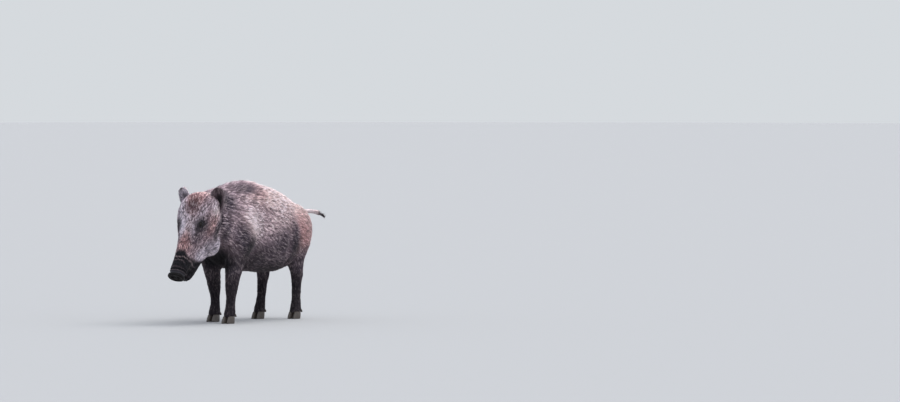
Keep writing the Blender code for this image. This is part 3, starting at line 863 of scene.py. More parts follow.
def noise(tree, scale, detail=2.0, roughness=0.5, place=None):
    inputs = {"Scale": scale, "Detail": detail, "Roughness": roughness}
    inputs["Vector"] = object_place(tree) if place is None else place
    return node(tree, "ShaderNodeTexNoise", inputs).outputs["Fac"]


def bump(tree, height, strength, distance):
    inputs = {"Height": height, "Strength": strength, "Distance": distance}
    return node(tree, "ShaderNodeBump", inputs).outputs["Normal"]


def new_material(name, roughness, **values):
    material = bpy.data.materials.new(name)
    material.use_nodes = True
    shader = material.node_tree.nodes["Principled BSDF"]
    shader.inputs["Roughness"].default_value = roughness
    for label, value in values.items():
        shader.inputs[label.replace("_", " ")].default_value = value
    return material, material.node_tree, shader


def feed(tree, shader, **sockets):
    for label, socket in sockets.items():
        tree.links.new(socket, shader.inputs[label.replace("_", " ")])


COAT_COLOURS = {
    "umber": (0.290, 0.208, 0.236, 1),
    "beige": (0.720, 0.545, 0.515, 1),
    "sand": (0.880, 0.700, 0.685, 1),
    "russet": (0.300, 0.150, 0.146, 1),
    "dusk": (0.085, 0.065, 0.085, 1),
    "ash": (0.660, 0.600, 0.690, 1),
    "soot": (0.013, 0.012, 0.015, 1),
}
PALEST = (0.98, 0.85, 0.90, 1)
# Patchiness of the coat: scale and strength of each noise
PATCHINESS = ((18, 0.35), (120, 0.9))
# The palest hairs are sandy: from which grain, up to which, and how much
PALE_HAIRS = {"From Min": 0.68, "From Max": 0.98, "To Max": 0.34}
# How much brighter the straying hairs get, and their limit
BRIGHTENING, BRIGHTEST = 4.6, 1.9


def new_group(name, inputs):
    """A node group that gives a colour, and what it is given."""
    group = bpy.data.node_groups.new(name, "ShaderNodeTree")
    for label, kind, value in inputs:
        socket = group.interface.new_socket(label, in_out="INPUT", socket_type=f"NodeSocket{kind}")
        socket.default_value = value
    group.interface.new_socket("Color", in_out="OUTPUT", socket_type="NodeSocketColor")
    return group, node(group, "NodeGroupInput").outputs


def coat_markings():
    """The boar's colours, from the marks at each place. Grain is a number from 0 to 1 that differs
    from hair to hair, and Grizzle says how much a hair strays from its place's colour."""
    inputs = [(name, "Color", value) for name, value in COAT_COLOURS.items()]
    inputs += [("Grain", "Float", 0.5), ("Grizzle", "Float", 0.4)]
    group, given = new_group("coat_markings", inputs)
    strays = arithmetic(group, "MULTIPLY_ADD", given["Grain"], 2.0, -1.0)
    strays = arithmetic(group, "MULTIPLY", strays, given["Grizzle"])
    for scale, strength in PATCHINESS:
        patchy = arithmetic(group, "MULTIPLY_ADD", noise(group, scale), strength, -strength / 2)
        strays = arithmetic(group, "ADD", strays, patchy)
    colour = given["umber"]
    for name in MARK_NAMES:
        mark = attribute(group, name)
        # A mark spreads most over the hairs that stray towards it.
        room = arithmetic(group, "MULTIPLY", mark, arithmetic(group, "SUBTRACT", 1.0, mark))
        room = arithmetic(group, "MULTIPLY", room, 2.0)
        amount = arithmetic(group, "MULTIPLY_ADD", room, strays, mark, clamp=True)
        colour = colour_mix(group, amount, colour, given[name])
    inputs = {"Value": given["Grain"], **PALE_HAIRS}
    pale = node(group, "ShaderNodeMapRange", inputs, interpolation_type="SMOOTHSTEP").outputs[0]
    clear_of_soot = arithmetic(group, "SUBTRACT", 1.0, attribute(group, "soot"))
    colour = colour_mix(group, arithmetic(group, "MULTIPLY", pale, clear_of_soot), colour, given["sand"])
    light = arithmetic(group, "MINIMUM", arithmetic(group, "POWER", BRIGHTENING, strays), BRIGHTEST)
    colour = colour_mix(group, 1.0, colour, grey(group, light), "MULTIPLY")
    colour = colour_mix(group, 1.0, colour, PALEST, "DARKEN")
    node(group, "NodeGroupOutput", {"Color": colour})
    return group


def marked(tree, group, grain, grizzle):
    """The boar's colours on a material."""
    inputs = {"Grain": grain, "Grizzle": grizzle}
    return node(tree, "ShaderNodeGroup", inputs, node_tree=group).outputs["Color"]


def coat_material(group):
    sheen = {"Sheen_Weight": 0.08, "Sheen_Roughness": 0.45, "Sheen_Tint": (1, 0.9, 0.85, 1)}
    material, tree, shader = new_material("boar_coat", 0.75, Specular_IOR_Level=0.13, **sheen)
    marks = marked(tree, group, attribute(tree, "hair"), 0.86)
    # Tufts are darker towards their roots.
    shade = arithmetic(tree, "MULTIPLY_ADD", attribute(tree, "tip"), 0.75, 0.45)
    feed(tree, shader, Base_Color=colour_mix(tree, 1.0, marks, grey(tree, shade), "MULTIPLY"))
    return material


def skin_material(group):
    undercoat, bare_skin = (0.55, 0.52, 0.52, 1), (0.020, 0.018, 0.022, 1)
    material, tree, shader = new_material("boar_skin", 0.8, Specular_IOR_Level=0.15)
    marks = marked(tree, group, noise(tree, 420, 2, 0.6), 0.5)
    dark = colour_mix(tree, 1.0, marks, undercoat, "MULTIPLY")
    bare = attribute(tree, "bare")
    feed(
        tree,
        shader,
        Base_Color=colour_mix(tree, bare, dark, bare_skin),
        Roughness=arithmetic(tree, "MULTIPLY_ADD", bare, -0.30, 0.80),
        Normal=bump(tree, noise(tree, 650, 3, 0.6), 0.5, 1.2 * MM),
    )
    return material


def wet_skin_material():
    black, worn, dry_rim = (0.002, 0.002, 0.002, 1), (0.012, 0.010, 0.010, 1), (0.038, 0.033, 0.033, 1)
    material, tree, shader = new_material("wet_snout_skin", 0.35, Specular_IOR_Level=0.07)
    pebbles = node(tree, "ShaderNodeTexVoronoi", {"Scale": 900, "Vector": object_place(tree)})
    colour = colour_mix(tree, noise(tree, 90, 3), black, worn)
    feed(
        tree,
        shader,
        Base_Color=colour_mix(tree, attribute(tree, "rim"), colour, dry_rim),
        Roughness=arithmetic(tree, "MULTIPLY_ADD", noise(tree, 160), 0.35, 0.22),
        Normal=bump(tree, pebbles.outputs["Distance"], 0.35, 0.6 * MM),
    )
    return material


def eye_material():
    black, deep_brown, brown = (0.003, 0.003, 0.003, 1), (0.008, 0.006, 0.005, 1), (0.018, 0.012, 0.009, 1)
    glaze = {"Coat_Weight": 0.15, "Coat_Roughness": 0.02}
    material, tree, shader = new_material("eye_glaze", 0.08, Specular_IOR_Level=0.12, **glaze)
    iris = colour_mix(tree, noise(tree, 700, 3), deep_brown, brown)
    feed(tree, shader, Base_Color=colour_mix(tree, attribute(tree, "iris"), black, iris))
    return material


def horn_material():
    dark, pale = (0.022, 0.018, 0.016, 1), (0.085, 0.068, 0.055, 1)
    material, tree, shader = new_material("hoof_horn_ridged", 0.5, Specular_IOR_Level=0.4)
    stretched = node(tree, "ShaderNodeMapping", {"Vector": object_place(tree), "Scale": (1, 1, 0.15)})
    streaks = noise(tree, 380, place=stretched.outputs["Vector"])
    feed(
        tree,
        shader,
        Base_Color=colour_mix(tree, streaks, dark, pale),
        Roughness=arithmetic(tree, "MULTIPLY_ADD", streaks, 0.3, 0.35),
        Normal=bump(tree, streaks, 0.4, 0.8 * MM),
    )
    return material


# ---------------------------------------------------------------- the unwrapped pelt

# Each part of the skin unrolls round its own middle line into a box of the map:
# left, bottom, width, height
PELT = {
    "trunk": (0.02, 0.02, 0.96, 0.42),
    "head": (0.02, 0.47, 0.62, 0.28),
    "tail": (0.67, 0.47, 0.14, 0.28),
    "ear_left": (0.84, 0.47, 0.14, 0.13),
    "ear_right": (0.84, 0.62, 0.14, 0.13),
    "foreleg_left": (0.02, 0.78, 0.21, 0.20),
    "foreleg_right": (0.27, 0.78, 0.21, 0.20),
    "hindleg_left": (0.52, 0.78, 0.21, 0.20),
    "hindleg_right": (0.77, 0.78, 0.21, 0.20),
}
PELT_NAMES = tuple(PELT)
# How high the legs reach on the map, and how far from their middle lines
LEG_TOP, LEG_REACH = 0.30, 0.075
# A foot's place and its leg's place higher up, as x, y at the floor and x, y at LEG_TOP
LEG_LINES = {
    "foreleg_left": ((0.085, -0.340), (0.092, -0.275)),
    "foreleg_right": ((-0.085, -0.206), (-0.092, -0.235)),
    "hindleg_left": ((0.075, 0.290), (0.082, 0.268)),
    "hindleg_right": ((-0.075, 0.196), (-0.082, 0.245)),
}
# Middle lines: height of the trunk's by y, and place outwards of the head's by place along the face
TRUNK_LINE = ((-0.45, 0.50), (-0.1, 0.46), (0.3, 0.44), (0.46, 0.44))
HEAD_LINE = ((0.0, -0.10), (0.2, -0.10), (0.45, -0.055))
TAIL_HEIGHT = 0.513
# Where each part starts along its middle line, and its length
SPANS = {"trunk": (-0.45, 0.93), "head": (-0.06, 0.53), "tail": (0.455, 0.27), "ear": (-0.16, 1.2)}


def leg_middle(name, height):
    """Where a leg's middle line is at each height, as x and y."""
    foot, top = np.array(LEG_LINES[name])
    return foot + (top - foot) * np.clip(height / LEG_TOP, 0, 1)[:, None]


def pelt_part(points):
    """Which part of the pelt each point belongs to, ears apart."""
    x, y, z = points.T
    part = np.full(len(points), PELT_NAMES.index("trunk"))
    away = [np.linalg.norm(points[:, :2] - leg_middle(name, z), axis=1) for name in LEG_LINES]
    low = (z < LEG_TOP) & (np.min(away, axis=0) < LEG_REACH)
    for name in LEG_LINES:
        here = ((y < 0) == name.startswith("fore")) & ((x > 0) == name.endswith("left"))
        part[low & here] = PELT_NAMES.index(name)
    part[head_share(points) > 0.5] = PELT_NAMES.index("head")
    part[(y > 0.462) & (z > 0.455)] = PELT_NAMES.index("tail")
    return part


def share_of(name, place):
    """How far along its part of the pelt a place is, from 0 to 1."""
    start, length = SPANS[name]
    return (place - start) / length


def turn_of(sideways, up):
    """Where a direction comes on the way round, from 0 to 1."""
    return np.arctan2(sideways, up) / (2 * pi) + 0.5


def unrolled(points, name):
    """Points as a turn round the part's middle line, and a share of its length."""
    x, y, z = points.T
    if name == "trunk":
        return turn_of(x, z - np.interp(y, *zip(*TRUNK_LINE))), share_of(name, y)
    if name == "head":
        along, _, out = head_place(points)
        return turn_of(x, out - np.interp(along, *zip(*HEAD_LINE))), share_of(name, along)
    if name == "tail":
        return turn_of(x, z - TAIL_HEIGHT), share_of(name, y)
    middle = leg_middle(name, z)
    return turn_of(x - middle[:, 0], middle[:, 1] - y), z / LEG_TOP


def unwrapped(points, faces, part, facts):
    """The pelt's map, face by face, so that no face crosses from one part of it to another."""
    spots = np.zeros((len(faces), 3, 2))
    for index, (name, (left, bottom, width, height)) in enumerate(PELT.items()):
        here = part[faces[:, 0]] == index
        corners = faces[here]
        if name.startswith("ear"):
            place, s, c = facts[corners].transpose(2, 0, 1)
            turn, share = turn_of(s, c), share_of("ear", place)
            centre = turn[:, :1]
        else:
            unrolls = unrolled(points[corners].reshape(-1, 3), name)
            turn, share = (values.reshape(-1, 3) for values in unrolls)
            centre = unrolled(points[corners].mean(1), name)[0][:, None]
        turn = turn - np.round(turn - centre)
        spots[here] = np.stack((left + width * turn, bottom + height * np.clip(share, -0.02, 1.02)), -1)
    return spots


# ---------------------------------------------------------------- skin, put together

# The middle line of the tail's tuft, as y and height, how much thinner and shorter the skin is in it,
# and from where it is shorter
TUFT_LINE = ((0.63, 0.503), (0.665, 0.496), (0.713, 0.488))
TUFT_THINNED, TUFT_SHORTENED, TUFT_SHORT_FROM = 0.62, 0.5, 0.655


def under_the_coat(points, normals, depth):
    """Points moved in by the coat's depth, and further in the tuft of the tail."""
    y = points[:, 1]
    tuft = step(y, 0.625, 0.650)
    middle = np.stack((0 * y, y, np.interp(y, *zip(*TUFT_LINE))), 1)
    sunk = blend(points - normals * (depth + MEET)[:, None], middle, TUFT_THINNED * tuft)
    sunk[:, 1] -= TUFT_SHORTENED * np.maximum(sunk[:, 1] - TUFT_SHORT_FROM, 0) * tuft
    return sunk


# Rounds of easing: of the melted form, of the refined one, and of the coat's lie, sizes and marks
FORM_ROUNDS, FINE_ROUNDS, LIE_ROUNDS, SIZE_ROUNDS, MARK_ROUNDS = 26, 6, 4, 3, 2


def body_skin():
    """Points and faces of the skin without its ears."""
    mesh = flesh_form()
    set_points(mesh, eased(points_of(mesh), edges_of(mesh), FORM_ROUNDS, give_back=0.51))
    refine(mesh, near_the_face)
    refine(mesh, near_fine_forms)
    reworked(mesh, lambda bm: bmesh.ops.triangulate(bm, faces=bm.faces))
    edges = edges_of(mesh)
    points = eased(points_of(mesh), edges, FINE_ROUNDS, give_back=0.50)
    set_points(mesh, points)
    normals = normals_of(mesh)
    depth = eased(coat_at(points)[:, 1:2], edges, FINE_ROUNDS)[:, 0]
    points = under_the_coat(points, normals, depth)
    share = head_share(points)
    carve = head_carving(points) * share + body_carving(points) * (1 - share)
    return shape_lids(points + normals * carve[:, None]), triangles_of(mesh)


def make_skin():
    """The skin's mesh and its places, and what the coat and the materials need at each vertex."""
    points, faces = body_skin()
    part = pelt_part(points)
    facts = np.zeros((len(points), 3))
    to_tip = {}
    for name, side in SIDES.items():
        shell, shell_faces, shell_facts, way = ear_shell(side)
        index = PELT_NAMES.index(f"ear_{name}")
        faces = np.concatenate((faces, shell_faces + len(points)))
        points = np.concatenate((points, shell))
        part = np.concatenate((part, np.full(len(shell), index)))
        facts = np.concatenate((facts, shell_facts))
        to_tip[index] = way
    skin = SimpleNamespace(mesh=mesh_from("skin", points, faces), points=points, faces=faces)
    skin.on_ear = np.isin(part, list(to_tip))
    skin.normals = normals_of(skin.mesh)
    skin.lie = lie_of_the_coat(points, skin.normals)
    for index, way in to_tip.items():
        skin.lie[part == index] = way
    add_coat_fields(skin, facts)
    skin.spots = unwrapped(points, faces, part, facts)
    give_map(skin.mesh, skin.spots)
    return skin


def add_coat_fields(skin, facts):
    """Lie, sizes and marks of the hair, and where the skin is bare."""
    points, edges, on_ear = skin.points, edges_of(skin.mesh), skin.on_ear
    sizes, marks = coat_at(points), markings(points)
    skin.hollow = np.zeros(len(points))
    sizes[on_ear], ear_marks, skin.hollow[on_ear] = ear_looks(points[on_ear, 0], *facts[on_ear].T)
    for name, amount in ear_marks.items():
        marks[name][on_ear] = amount
    tuft = step(points[:, 1], 0.620, 0.645)
    sizes[:, 0] += tuft * (0.030 * (1 - step(points[:, 1], 0.635, 0.69)) + 0.012)
    skin.bare = step(head_place(points)[0], 0.425, 0.440) * head_share(points)
    skin.bare = np.where(on_ear, 0, np.maximum(skin.bare, bare_lids(points)))
    skin.lie = unit(eased(skin.lie, edges, LIE_ROUNDS))
    skin.sizes = eased(sizes, edges, SIZE_ROUNDS)
    skin.marks = eased(np.stack([marks[name] for name in MARK_NAMES], 1), edges, MARK_ROUNDS)


# The hair on the ears: its length but for tips and fringe, its depth and how wide a tuft is
EAR_HAIR, EAR_COAT_DEPTH, EAR_TUFT_WIDTH = 12 * MM, 1.8 * MM, 1.5 * MM


def ear_looks(x, share, inward, edge):
    """Sizes of the hair on the ears, their marks, and how deep in the cup each place is."""
    # The right ear is the paler one: painted light, for the light that falls on the far ear from behind.
    pale = x < 0
    outer = edge * np.where(pale, -1, 1)
    hollow = step(inward, 0.10, 0.45) * np.exp(-(((outer - 0.15) / 0.55) ** 4))
    hollow *= 1 - step(share, 0.55, 0.88)
    rim = step(np.abs(edge), 0.72, 0.95) * (1 - step(share, 0.75, 1.0))
    fringe = rim * (outer < 0) * (1 - step(share, 0.35, 0.75))
    tipped = step(share, 0.45, 0.80)
    ash = (0.04 + 0.76 * pale) * (inward > 0) + 0.10 * rim + 0.5 * fringe + 0.15 * tipped * pale
    marks = {
        "beige": 0.42 * pale,
        "sand": 0.50 * tipped * pale,
        "russet": 0.25,
        "dusk": (0.62 - 0.30 * (inward > 0)) * (1 - 0.8 * pale) * (1 - tipped * pale),
        "ash": np.clip(ash, 0, 1),
        # The soot deep in the cup is painted shadow.
        "soot": np.maximum((0.95 - 0.25 * pale) * hollow, 0.32 * (1 - pale)),
    }
    length = EAR_HAIR - 0.006 * step(share, 0.78, 0.98) + 0.004 * rim + 0.018 * fringe
    sizes = np.stack(np.broadcast_arrays(length, EAR_COAT_DEPTH, EAR_TUFT_WIDTH), 1)
    return sizes, marks, hollow


# ---------------------------------------------------------------- coat

# The two kinds of tuft: how many, in how many locks, and how much of its tone a tuft shares with its
# lock. Then its triangles, its corners on the map, and how near the tip they are.
LONG = SimpleNamespace(
    tufts=172_000,
    locks=24_000,
    shared_tone=0.50,
    # A root, the sides and ridge of the middle, and a tip
    faces=np.array(((0, 3, 1), (0, 2, 3), (1, 3, 4), (3, 2, 4), (0, 1, 2), (1, 4, 2))),
    layout=np.array(((0, 0), (-0.5, 0.5), (0.5, 0.5), (0, 0.45), (0, 1))),
    tip=np.array((0, 0.5, 0.5, 0.5, 1.0)),
    pieces=("coat_neck", "coat_shoulders", "coat_chest", "coat_ribs", "coat_flanks", "coat_croup"),
)
SHORT = SimpleNamespace(
    tufts=108_000,
    locks=14_000,
    shared_tone=0.55,
    # Two roots, a ridge and a tip
    faces=np.array(((0, 1, 2), (1, 3, 2), (0, 2, 3), (1, 0, 3))),
    layout=np.array(((-0.5, 0), (0.5, 0), (0, 0.3), (0, 1))),
    tip=np.array((0, 0, 0.35, 1.0)),
    pieces=("coat_face", "coat_head_and_ears", "coat_legs_and_tail"),
)
# How long hair is where its tufts are long ones, and how deep both kinds root
LONG_FROM = 19 * MM
LONG_ROOT_DEPTH, SHORT_ROOT_DEPTH = 1.5 * MM, 0.6 * MM
# Locks: their radius, how many a tuft chooses from, and how little distance along the hair counts
LOCK_RADIUS, LOCK_CHOICES, LOCK_STRETCH = 5 * MM, 6, 0.84
# How far tufts reach towards their lock's leading one, at the tip and in the middle
TIPS_MEET, MIDDLES_MEET = 0.5, 0.2
# How locks sway, curl and rise. Tufts from this length on sway with them in full.
SWAY, CURL, RISE = 0.15, 0.20, (0.72, 1.28)
FULL_SWAY = 30 * MM
# How much the tones vary, how much more they do on the head, and how much less on the tail
CONTRAST, HEAD_CONTRAST, CALM_TAIL = 1.30, 0.30, 0.6
# A tuft's size on the map, and the most triangles in a piece of coat
PATCH = 0.003
MOST_TRIANGLES = 196_000


def scattered(weights, count):
    """count picks in order, spread evenly over the weights."""
    total = np.cumsum(weights)
    marks = (np.arange(count) + chance.random(count)) / count * total[-1]
    return np.searchsorted(total, marks)


def roots_on(skin, weights, count):
    """Roots spread over the skin's faces by weight, with what the skin holds at each."""
    picked = scattered(weights, count)
    a, b = chance.random((2, count))
    over = a + b > 1
    a[over], b[over] = 1 - a[over], 1 - b[over]
    shares = np.stack((1 - a - b, a, b), 1)

    def at_roots(values):
        return np.einsum("ij,ijk->ik", shares, values[skin.faces[picked]])

    return SimpleNamespace(
        place=at_roots(skin.points),
        normal=unit(at_roots(skin.normals)),
        lie=at_roots(skin.lie),
        sizes=at_roots(skin.sizes),
        marks=at_roots(skin.marks),
        spot=np.einsum("ij,ijk->ik", shares, skin.spots[picked]),
    )


def turned(directions, normals, angles):
    """Directions turned about the normals."""
    aside = np.cross(normals, directions)
    return directions * np.cos(angles)[:, None] + aside * np.sin(angles)[:, None]


def flattened(directions, normals):
    return unit(directions - normals * dot(directions, normals))


def onto_skin(tree, places, normals):
    """The nearest places on the skin, and its normals there. A place stays where the skin near it
    faces away, as across a gap."""
    found = [tree.find_nearest(place) for place in places.tolist()]
    near, out = np.array([f[0] for f in found]), np.array([f[1] for f in found])
    away = dot(out, normals)[:, 0] < 0.1
    near[away], out[away] = places[away], normals[away]
    return near, out


def nearest_locks(tufts, locks):
    """Each tuft's lock: the one whose root is nearest, where what lies along the hair counts as less
    far."""
    tree = KDTree(len(locks.place))
    for k, root in enumerate(locks.place.tolist()):
        tree.insert(root, k)
    tree.balance()
    near = [[found[1] for found in tree.find_n(place, LOCK_CHOICES)] for place in tufts.place.tolist()]
    near = np.array(near)
    off = tufts.place[:, None] - locks.place[near]
    away = (off**2).sum(2) - LOCK_STRETCH * np.einsum("ijk,ik->ij", off, unit(tufts.lie)) ** 2
    return near[np.arange(len(near)), away.argmin(1)]


def ripple(points):
    """How far locks turn together, from -1 to 1."""
    x, y, z = points.T
    wave = np.sin(95 * y + 40 * z + 9 * np.sin(23 * y) + 7 * np.sin(31 * z))
    cross = np.sin(61 * z - 37 * y + 6 * np.sin(47 * x + 19 * y))
    return wave * 0.6 + cross * 0.4


def tones(kind, lock, place):
    """A number from 0 to 1 for each tuft, more even on the tail and less so on the head."""
    own = 1 - kind.shared_tone
    tone = kind.shared_tone * chance.random(kind.locks)[lock] + own * chance.random(len(lock))
    contrast = CONTRAST + HEAD_CONTRAST * (1 - step(place[:, 1], -0.42, -0.36))
    tone = np.clip(0.5 + contrast * (tone - 0.5), 0, 1)
    return 0.5 + (tone - 0.5) * (1 - CALM_TAIL * tail_share(place, 0.46))


def long_tufts(tree, roots, length, depth, width, twist):
    """Leaf-shaped tufts that follow the skin: their corners and soft normals."""
    count, normal = len(length), roots.normal
    half_length, half_width = (length * 0.5)[:, None], (width * 0.5)[:, None]
    lie = flattened(turned(roots.lie, normal, twist), normal)
    stand = depth * chance.uniform(0.55, 1.1, count)
    half, half_normal = onto_skin(tree, roots.place + lie * half_length, normal)
    middle = half + half_normal * (stand * 0.85)[:, None]
    bend = twist * 0.5 + chance.normal(0, 0.10, count)
    onward = turned(flattened(lie, half_normal), half_normal, bend)
    end, end_normal = onto_skin(tree, half + onward * half_length, half_normal)
    # A few tips stray.
    lift = chance.uniform(0.75, 1.15, count) + 0.5 * (chance.random(count) > 0.93)
    tip = end + end_normal * (stand * lift)[:, None]
    side = unit(np.cross(onward, half_normal))
    root, across = roots.place - normal * LONG_ROOT_DEPTH, side * half_width
    ridge = middle + half_normal * half_width * 0.7
    corners = np.stack((root, middle - across, middle + across, ridge, tip), 1)
    soft = (normal, half_normal - side * 0.7, half_normal + side * 0.7, half_normal, end_normal)
    return corners, unit(np.stack(soft, 1))


def short_tufts(roots, length, depth, width, twist):
    """Flat spikes: their corners and soft normals."""
    normal = roots.normal
    lie = flattened(turned(roots.lie, normal, twist), normal)
    stand = depth * chance.uniform(0.5, 1.15, len(length))
    side = np.cross(lie, normal)
    root, across = roots.place - normal * SHORT_ROOT_DEPTH, side * (width * 0.5)[:, None]
    rise = stand * 0.75 + width * 0.25 + SHORT_ROOT_DEPTH
    ridge = root + lie * (length * 0.35)[:, None] + normal * rise[:, None]
    tip = root + lie * length[:, None] + normal * (stand + 0.4 * MM)[:, None]
    corners = np.stack((root - across, root + across, ridge, tip), 1)
    return corners, unit(np.stack((normal - side * 0.6, normal + side * 0.6, normal, normal), 1))


def gather(corners, soft, leader, off, normal, lie):
    """Tufts drawn together towards the tip of their lock's leading one, and rounded across the lock."""
    corners[:, 4] += (leader[:, 4] - corners[:, 4]) * TIPS_MEET
    corners[:, 1:4] += ((leader[:, 3] - corners[:, 3]) * MIDDLES_MEET)[:, None]
    side = unit(np.cross(lie, normal))
    across = np.clip(dot(off, side) / LOCK_RADIUS, -1, 1)
    soft += (side * (0.55 * across))[:, None]
    soft /= np.linalg.norm(soft, axis=2, keepdims=True)


def tuft_mesh(name, kind, corners, soft, tone, marks, spots):
    """Tufts as one mesh: corners and soft normals are tuft by corner by axis."""
    count, size = corners.shape[:2]
    triangles = (np.arange(count)[:, None, None] * size + kind.faces).reshape(-1, 3)
    mesh = mesh_from(name, corners.reshape(-1, 3), triangles)
    layout = spots[:, None, :] + (kind.layout - (0, 0.5)) * PATCH
    give_map(mesh, layout[:, kind.faces.ravel()])
    give(mesh, "hair", np.repeat(tone, size))
    give(mesh, "tip", np.tile(kind.tip, count))
    for k, mark in enumerate(MARK_NAMES):
        give(mesh, mark, np.repeat(marks[:, k], size))
    mesh.normals_split_custom_set_from_vertices(soft.reshape(-1, 3))
    return mesh


def grow(kind, skin, tree, ground, room):
    """Tufts over the ground, each with its room: their roots, corners, soft normals and tones."""
    tufts = roots_on(skin, ground / room, kind.tufts)
    size = chance.uniform(0.75, 1.15, len(tufts.place))
    locks = roots_on(skin, ground, kind.locks)
    lock = nearest_locks(tufts, locks)
    tone = tones(kind, lock, tufts.place)
    curled = ripple(locks.place) * (1 - step(locks.place[:, 1], 0.0, 0.12))
    sway = chance.normal(0, SWAY, kind.locks) + CURL * curled
    rise = chance.uniform(*RISE, kind.locks)
    length, depth, width = tufts.sizes.T
    twist = chance.normal(0, 0.09, len(lock)) + sway[lock] * np.minimum(length / FULL_SWAY, 1)
    if kind is SHORT:
        corners, soft = short_tufts(tufts, length * size, depth * rise[lock], width, twist)
        return tufts, corners, soft, tone
    corners, soft = long_tufts(tree, tufts, length * size, depth * rise[lock], width, twist)
    length, depth, width = locks.sizes.T
    leaders, _ = long_tufts(tree, locks, length, depth * rise, width, sway)
    off = tufts.place - locks.place[lock]
    gather(corners, soft, leaders[lock], off, locks.normal[lock], locks.lie[lock])
    return tufts, corners, soft, tone


def make_coat(skin, material):
    faces = skin.faces
    area = np.linalg.norm(face_crosses(skin.points, faces), axis=1) / 2
    length, _, width = skin.sizes[faces].mean(1).T
    growth = (1 - skin.bare[faces].mean(1)) * (1 - 0.7 * skin.hollow[faces].mean(1))
    long = (length > LONG_FROM) & ~skin.on_ear[faces].any(1)
    tree = BVHTree.FromPolygons(skin.points.tolist(), faces.tolist())
    for kind, chosen in ((LONG, long), (SHORT, ~long)):
        ground = area * growth * chosen
        tufts, corners, soft, tone = grow(kind, skin, tree, ground, (length * width) ** 0.75)
        order = np.argsort(tufts.place[:, 1], kind="stable")
        pieces = ceil(len(order) * len(kind.faces) / MOST_TRIANGLES)
        if pieces > len(kind.pieces):
            raise RuntimeError(f"{len(order)} tufts make {pieces} pieces, and {len(kind.pieces)} are named")
        for name, few in zip(kind.pieces, np.array_split(order, pieces)):
            fields = corners[few], soft[few], tone[few], tufts.marks[few], tufts.spot[few]
            piece = add_object(name, tuft_mesh(name, kind, *fields), material)
            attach(piece, "root")


# ---------------------------------------------------------------- eyes, snout disc, hooves


def make_eye(side, material):
    """An eyeball with a bulging cornea, and its iris marked."""
    name = "eyeball_left" if side > 0 else "eyeball_right"
    centre, out, along, up = eye_frame(side)
    mesh = bpy.data.meshes.new(name)
    reworked(mesh, lambda bm: bmesh.ops.create_uvsphere(bm, u_segments=64, v_segments=40, radius=1))
    points = points_of(mesh)
    front = points[:, 2]
    radius = EYE_RADIUS * (1 + 0.05 * step(front, 0.80, 0.96))
    set_points(mesh, centre + (points * radius[:, None]) @ np.stack((along, up, out)))
    mesh.shade_smooth()
    away = np.hypot(points[:, 0] / 1.25, points[:, 1])
    give(mesh, "iris", step(front, 0.6, 0.75) * step(away, 0.20, 0.25) * (1 - step(away, 0.52, 0.58)))
    if side > 0:
        # The left eye's axes mirror the right one's.
        mesh.flip_normals()
    piece = add_object(name, mesh, material)
    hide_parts("eye_left" if side > 0 else "eye_right")
    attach(piece, "root")


DISC_START, DISC_DEPTH, DISC_MIDDLE = 0.450, 15 * MM, -0.0335
DISC_HALF_WIDTH, DISC_HALF_HEIGHT = 41.5 * MM, 37 * MM
DISC_DISH, DISC_GROOVE, DISC_WRINKLES = 2.2 * MM, 1.0 * MM, 0.4 * MM
NOSTRIL_LIP, NOSTRIL_DEPTH = 1.2 * MM, 10.5 * MM
DISC_RINGS, DISC_POINTS = 60, 144
# How much of the way from its middle to its back is flat, and how far round its rim rolls
DISC_FLAT, DISC_ROLL = 0.78, pi * 0.85
# Place aside and up, half width and half height
NOSTRIL = (0.0165, 0.0025, 0.0062, 0.0078)


def disc_profile():
    """Rings from the disc's middle out and round its rolled rim: shares of its half sizes and depth."""
    for t in np.linspace(0, 1, DISC_RINGS):
        roll = (t - DISC_FLAT) / (1 - DISC_FLAT) * DISC_ROLL
        if roll < 0:
            yield 0.002 + 0.90 * t / DISC_FLAT, 1.0
        elif roll < pi / 2:
            yield 0.902 + 0.098 * sin(roll), 0.5 + 0.5 * cos(roll)
        else:
            yield 0.94 + 0.06 * sin(roll), 0.5 + 0.5 * cos(roll)


def disc_relief(x, y):
    """How far the disc's front stands out: dished, grooved above, with two lipped nostrils."""
    aside, up, half_width, half_height = NOSTRIL
    out = np.hypot(x / DISC_HALF_WIDTH, y / DISC_HALF_HEIGHT)
    hole = np.hypot((np.abs(x) - aside) / half_width, (y - up) / half_height)
    relief = -DISC_DISH * (1 - step(out, 0.45, 0.88))
    relief -= DISC_GROOVE * swell(x, 0.0035) * step(y, -0.002, 0.02)
    relief += NOSTRIL_LIP * swell(hole - 1.25, 0.22)
    relief -= NOSTRIL_DEPTH * (1 - step(hole, 0.55, 1.05))
    return relief + DISC_WRINKLES * np.sin(hole * 9) * (hole > 1.3) * (1 - step(out, 0.7, 0.9))


def make_disc(material):
    """The rooting disc: an oval plate with a rolled rim, dished round two nostrils."""
    c, s = turns(DISC_POINTS)
    points, rim = [], []
    for share, height in disc_profile():
        x, y = squared(c, 2.3) * DISC_HALF_WIDTH * share, squared(s, 2.2) * DISC_HALF_HEIGHT * share
        depth = height * DISC_DEPTH + disc_relief(x, y) * (height > 0.99)
        points.append(on_head((DISC_START + depth)[:, None], x[:, None], (DISC_MIDDLE + y)[:, None]))
        rim.append(step(share, 0.86, 0.97) * step(-y, 0.0, 0.03))
    points.append(on_head(DISC_START + DISC_DEPTH - 0.0032, 0, DISC_MIDDLE)[None])
    points.append(on_head(DISC_START - 0.004, 0, DISC_MIDDLE)[None])
    faces = closed_faces(DISC_RINGS, DISC_POINTS)[:, ::-1]
    mesh = mesh_from("rooting_disc", np.concatenate(points), faces)
    give(mesh, "rim", np.concatenate((*rim, (0, 0))))
    piece = add_object("rooting_disc", mesh, material)
    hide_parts("snout_disc")
    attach(piece, "root")


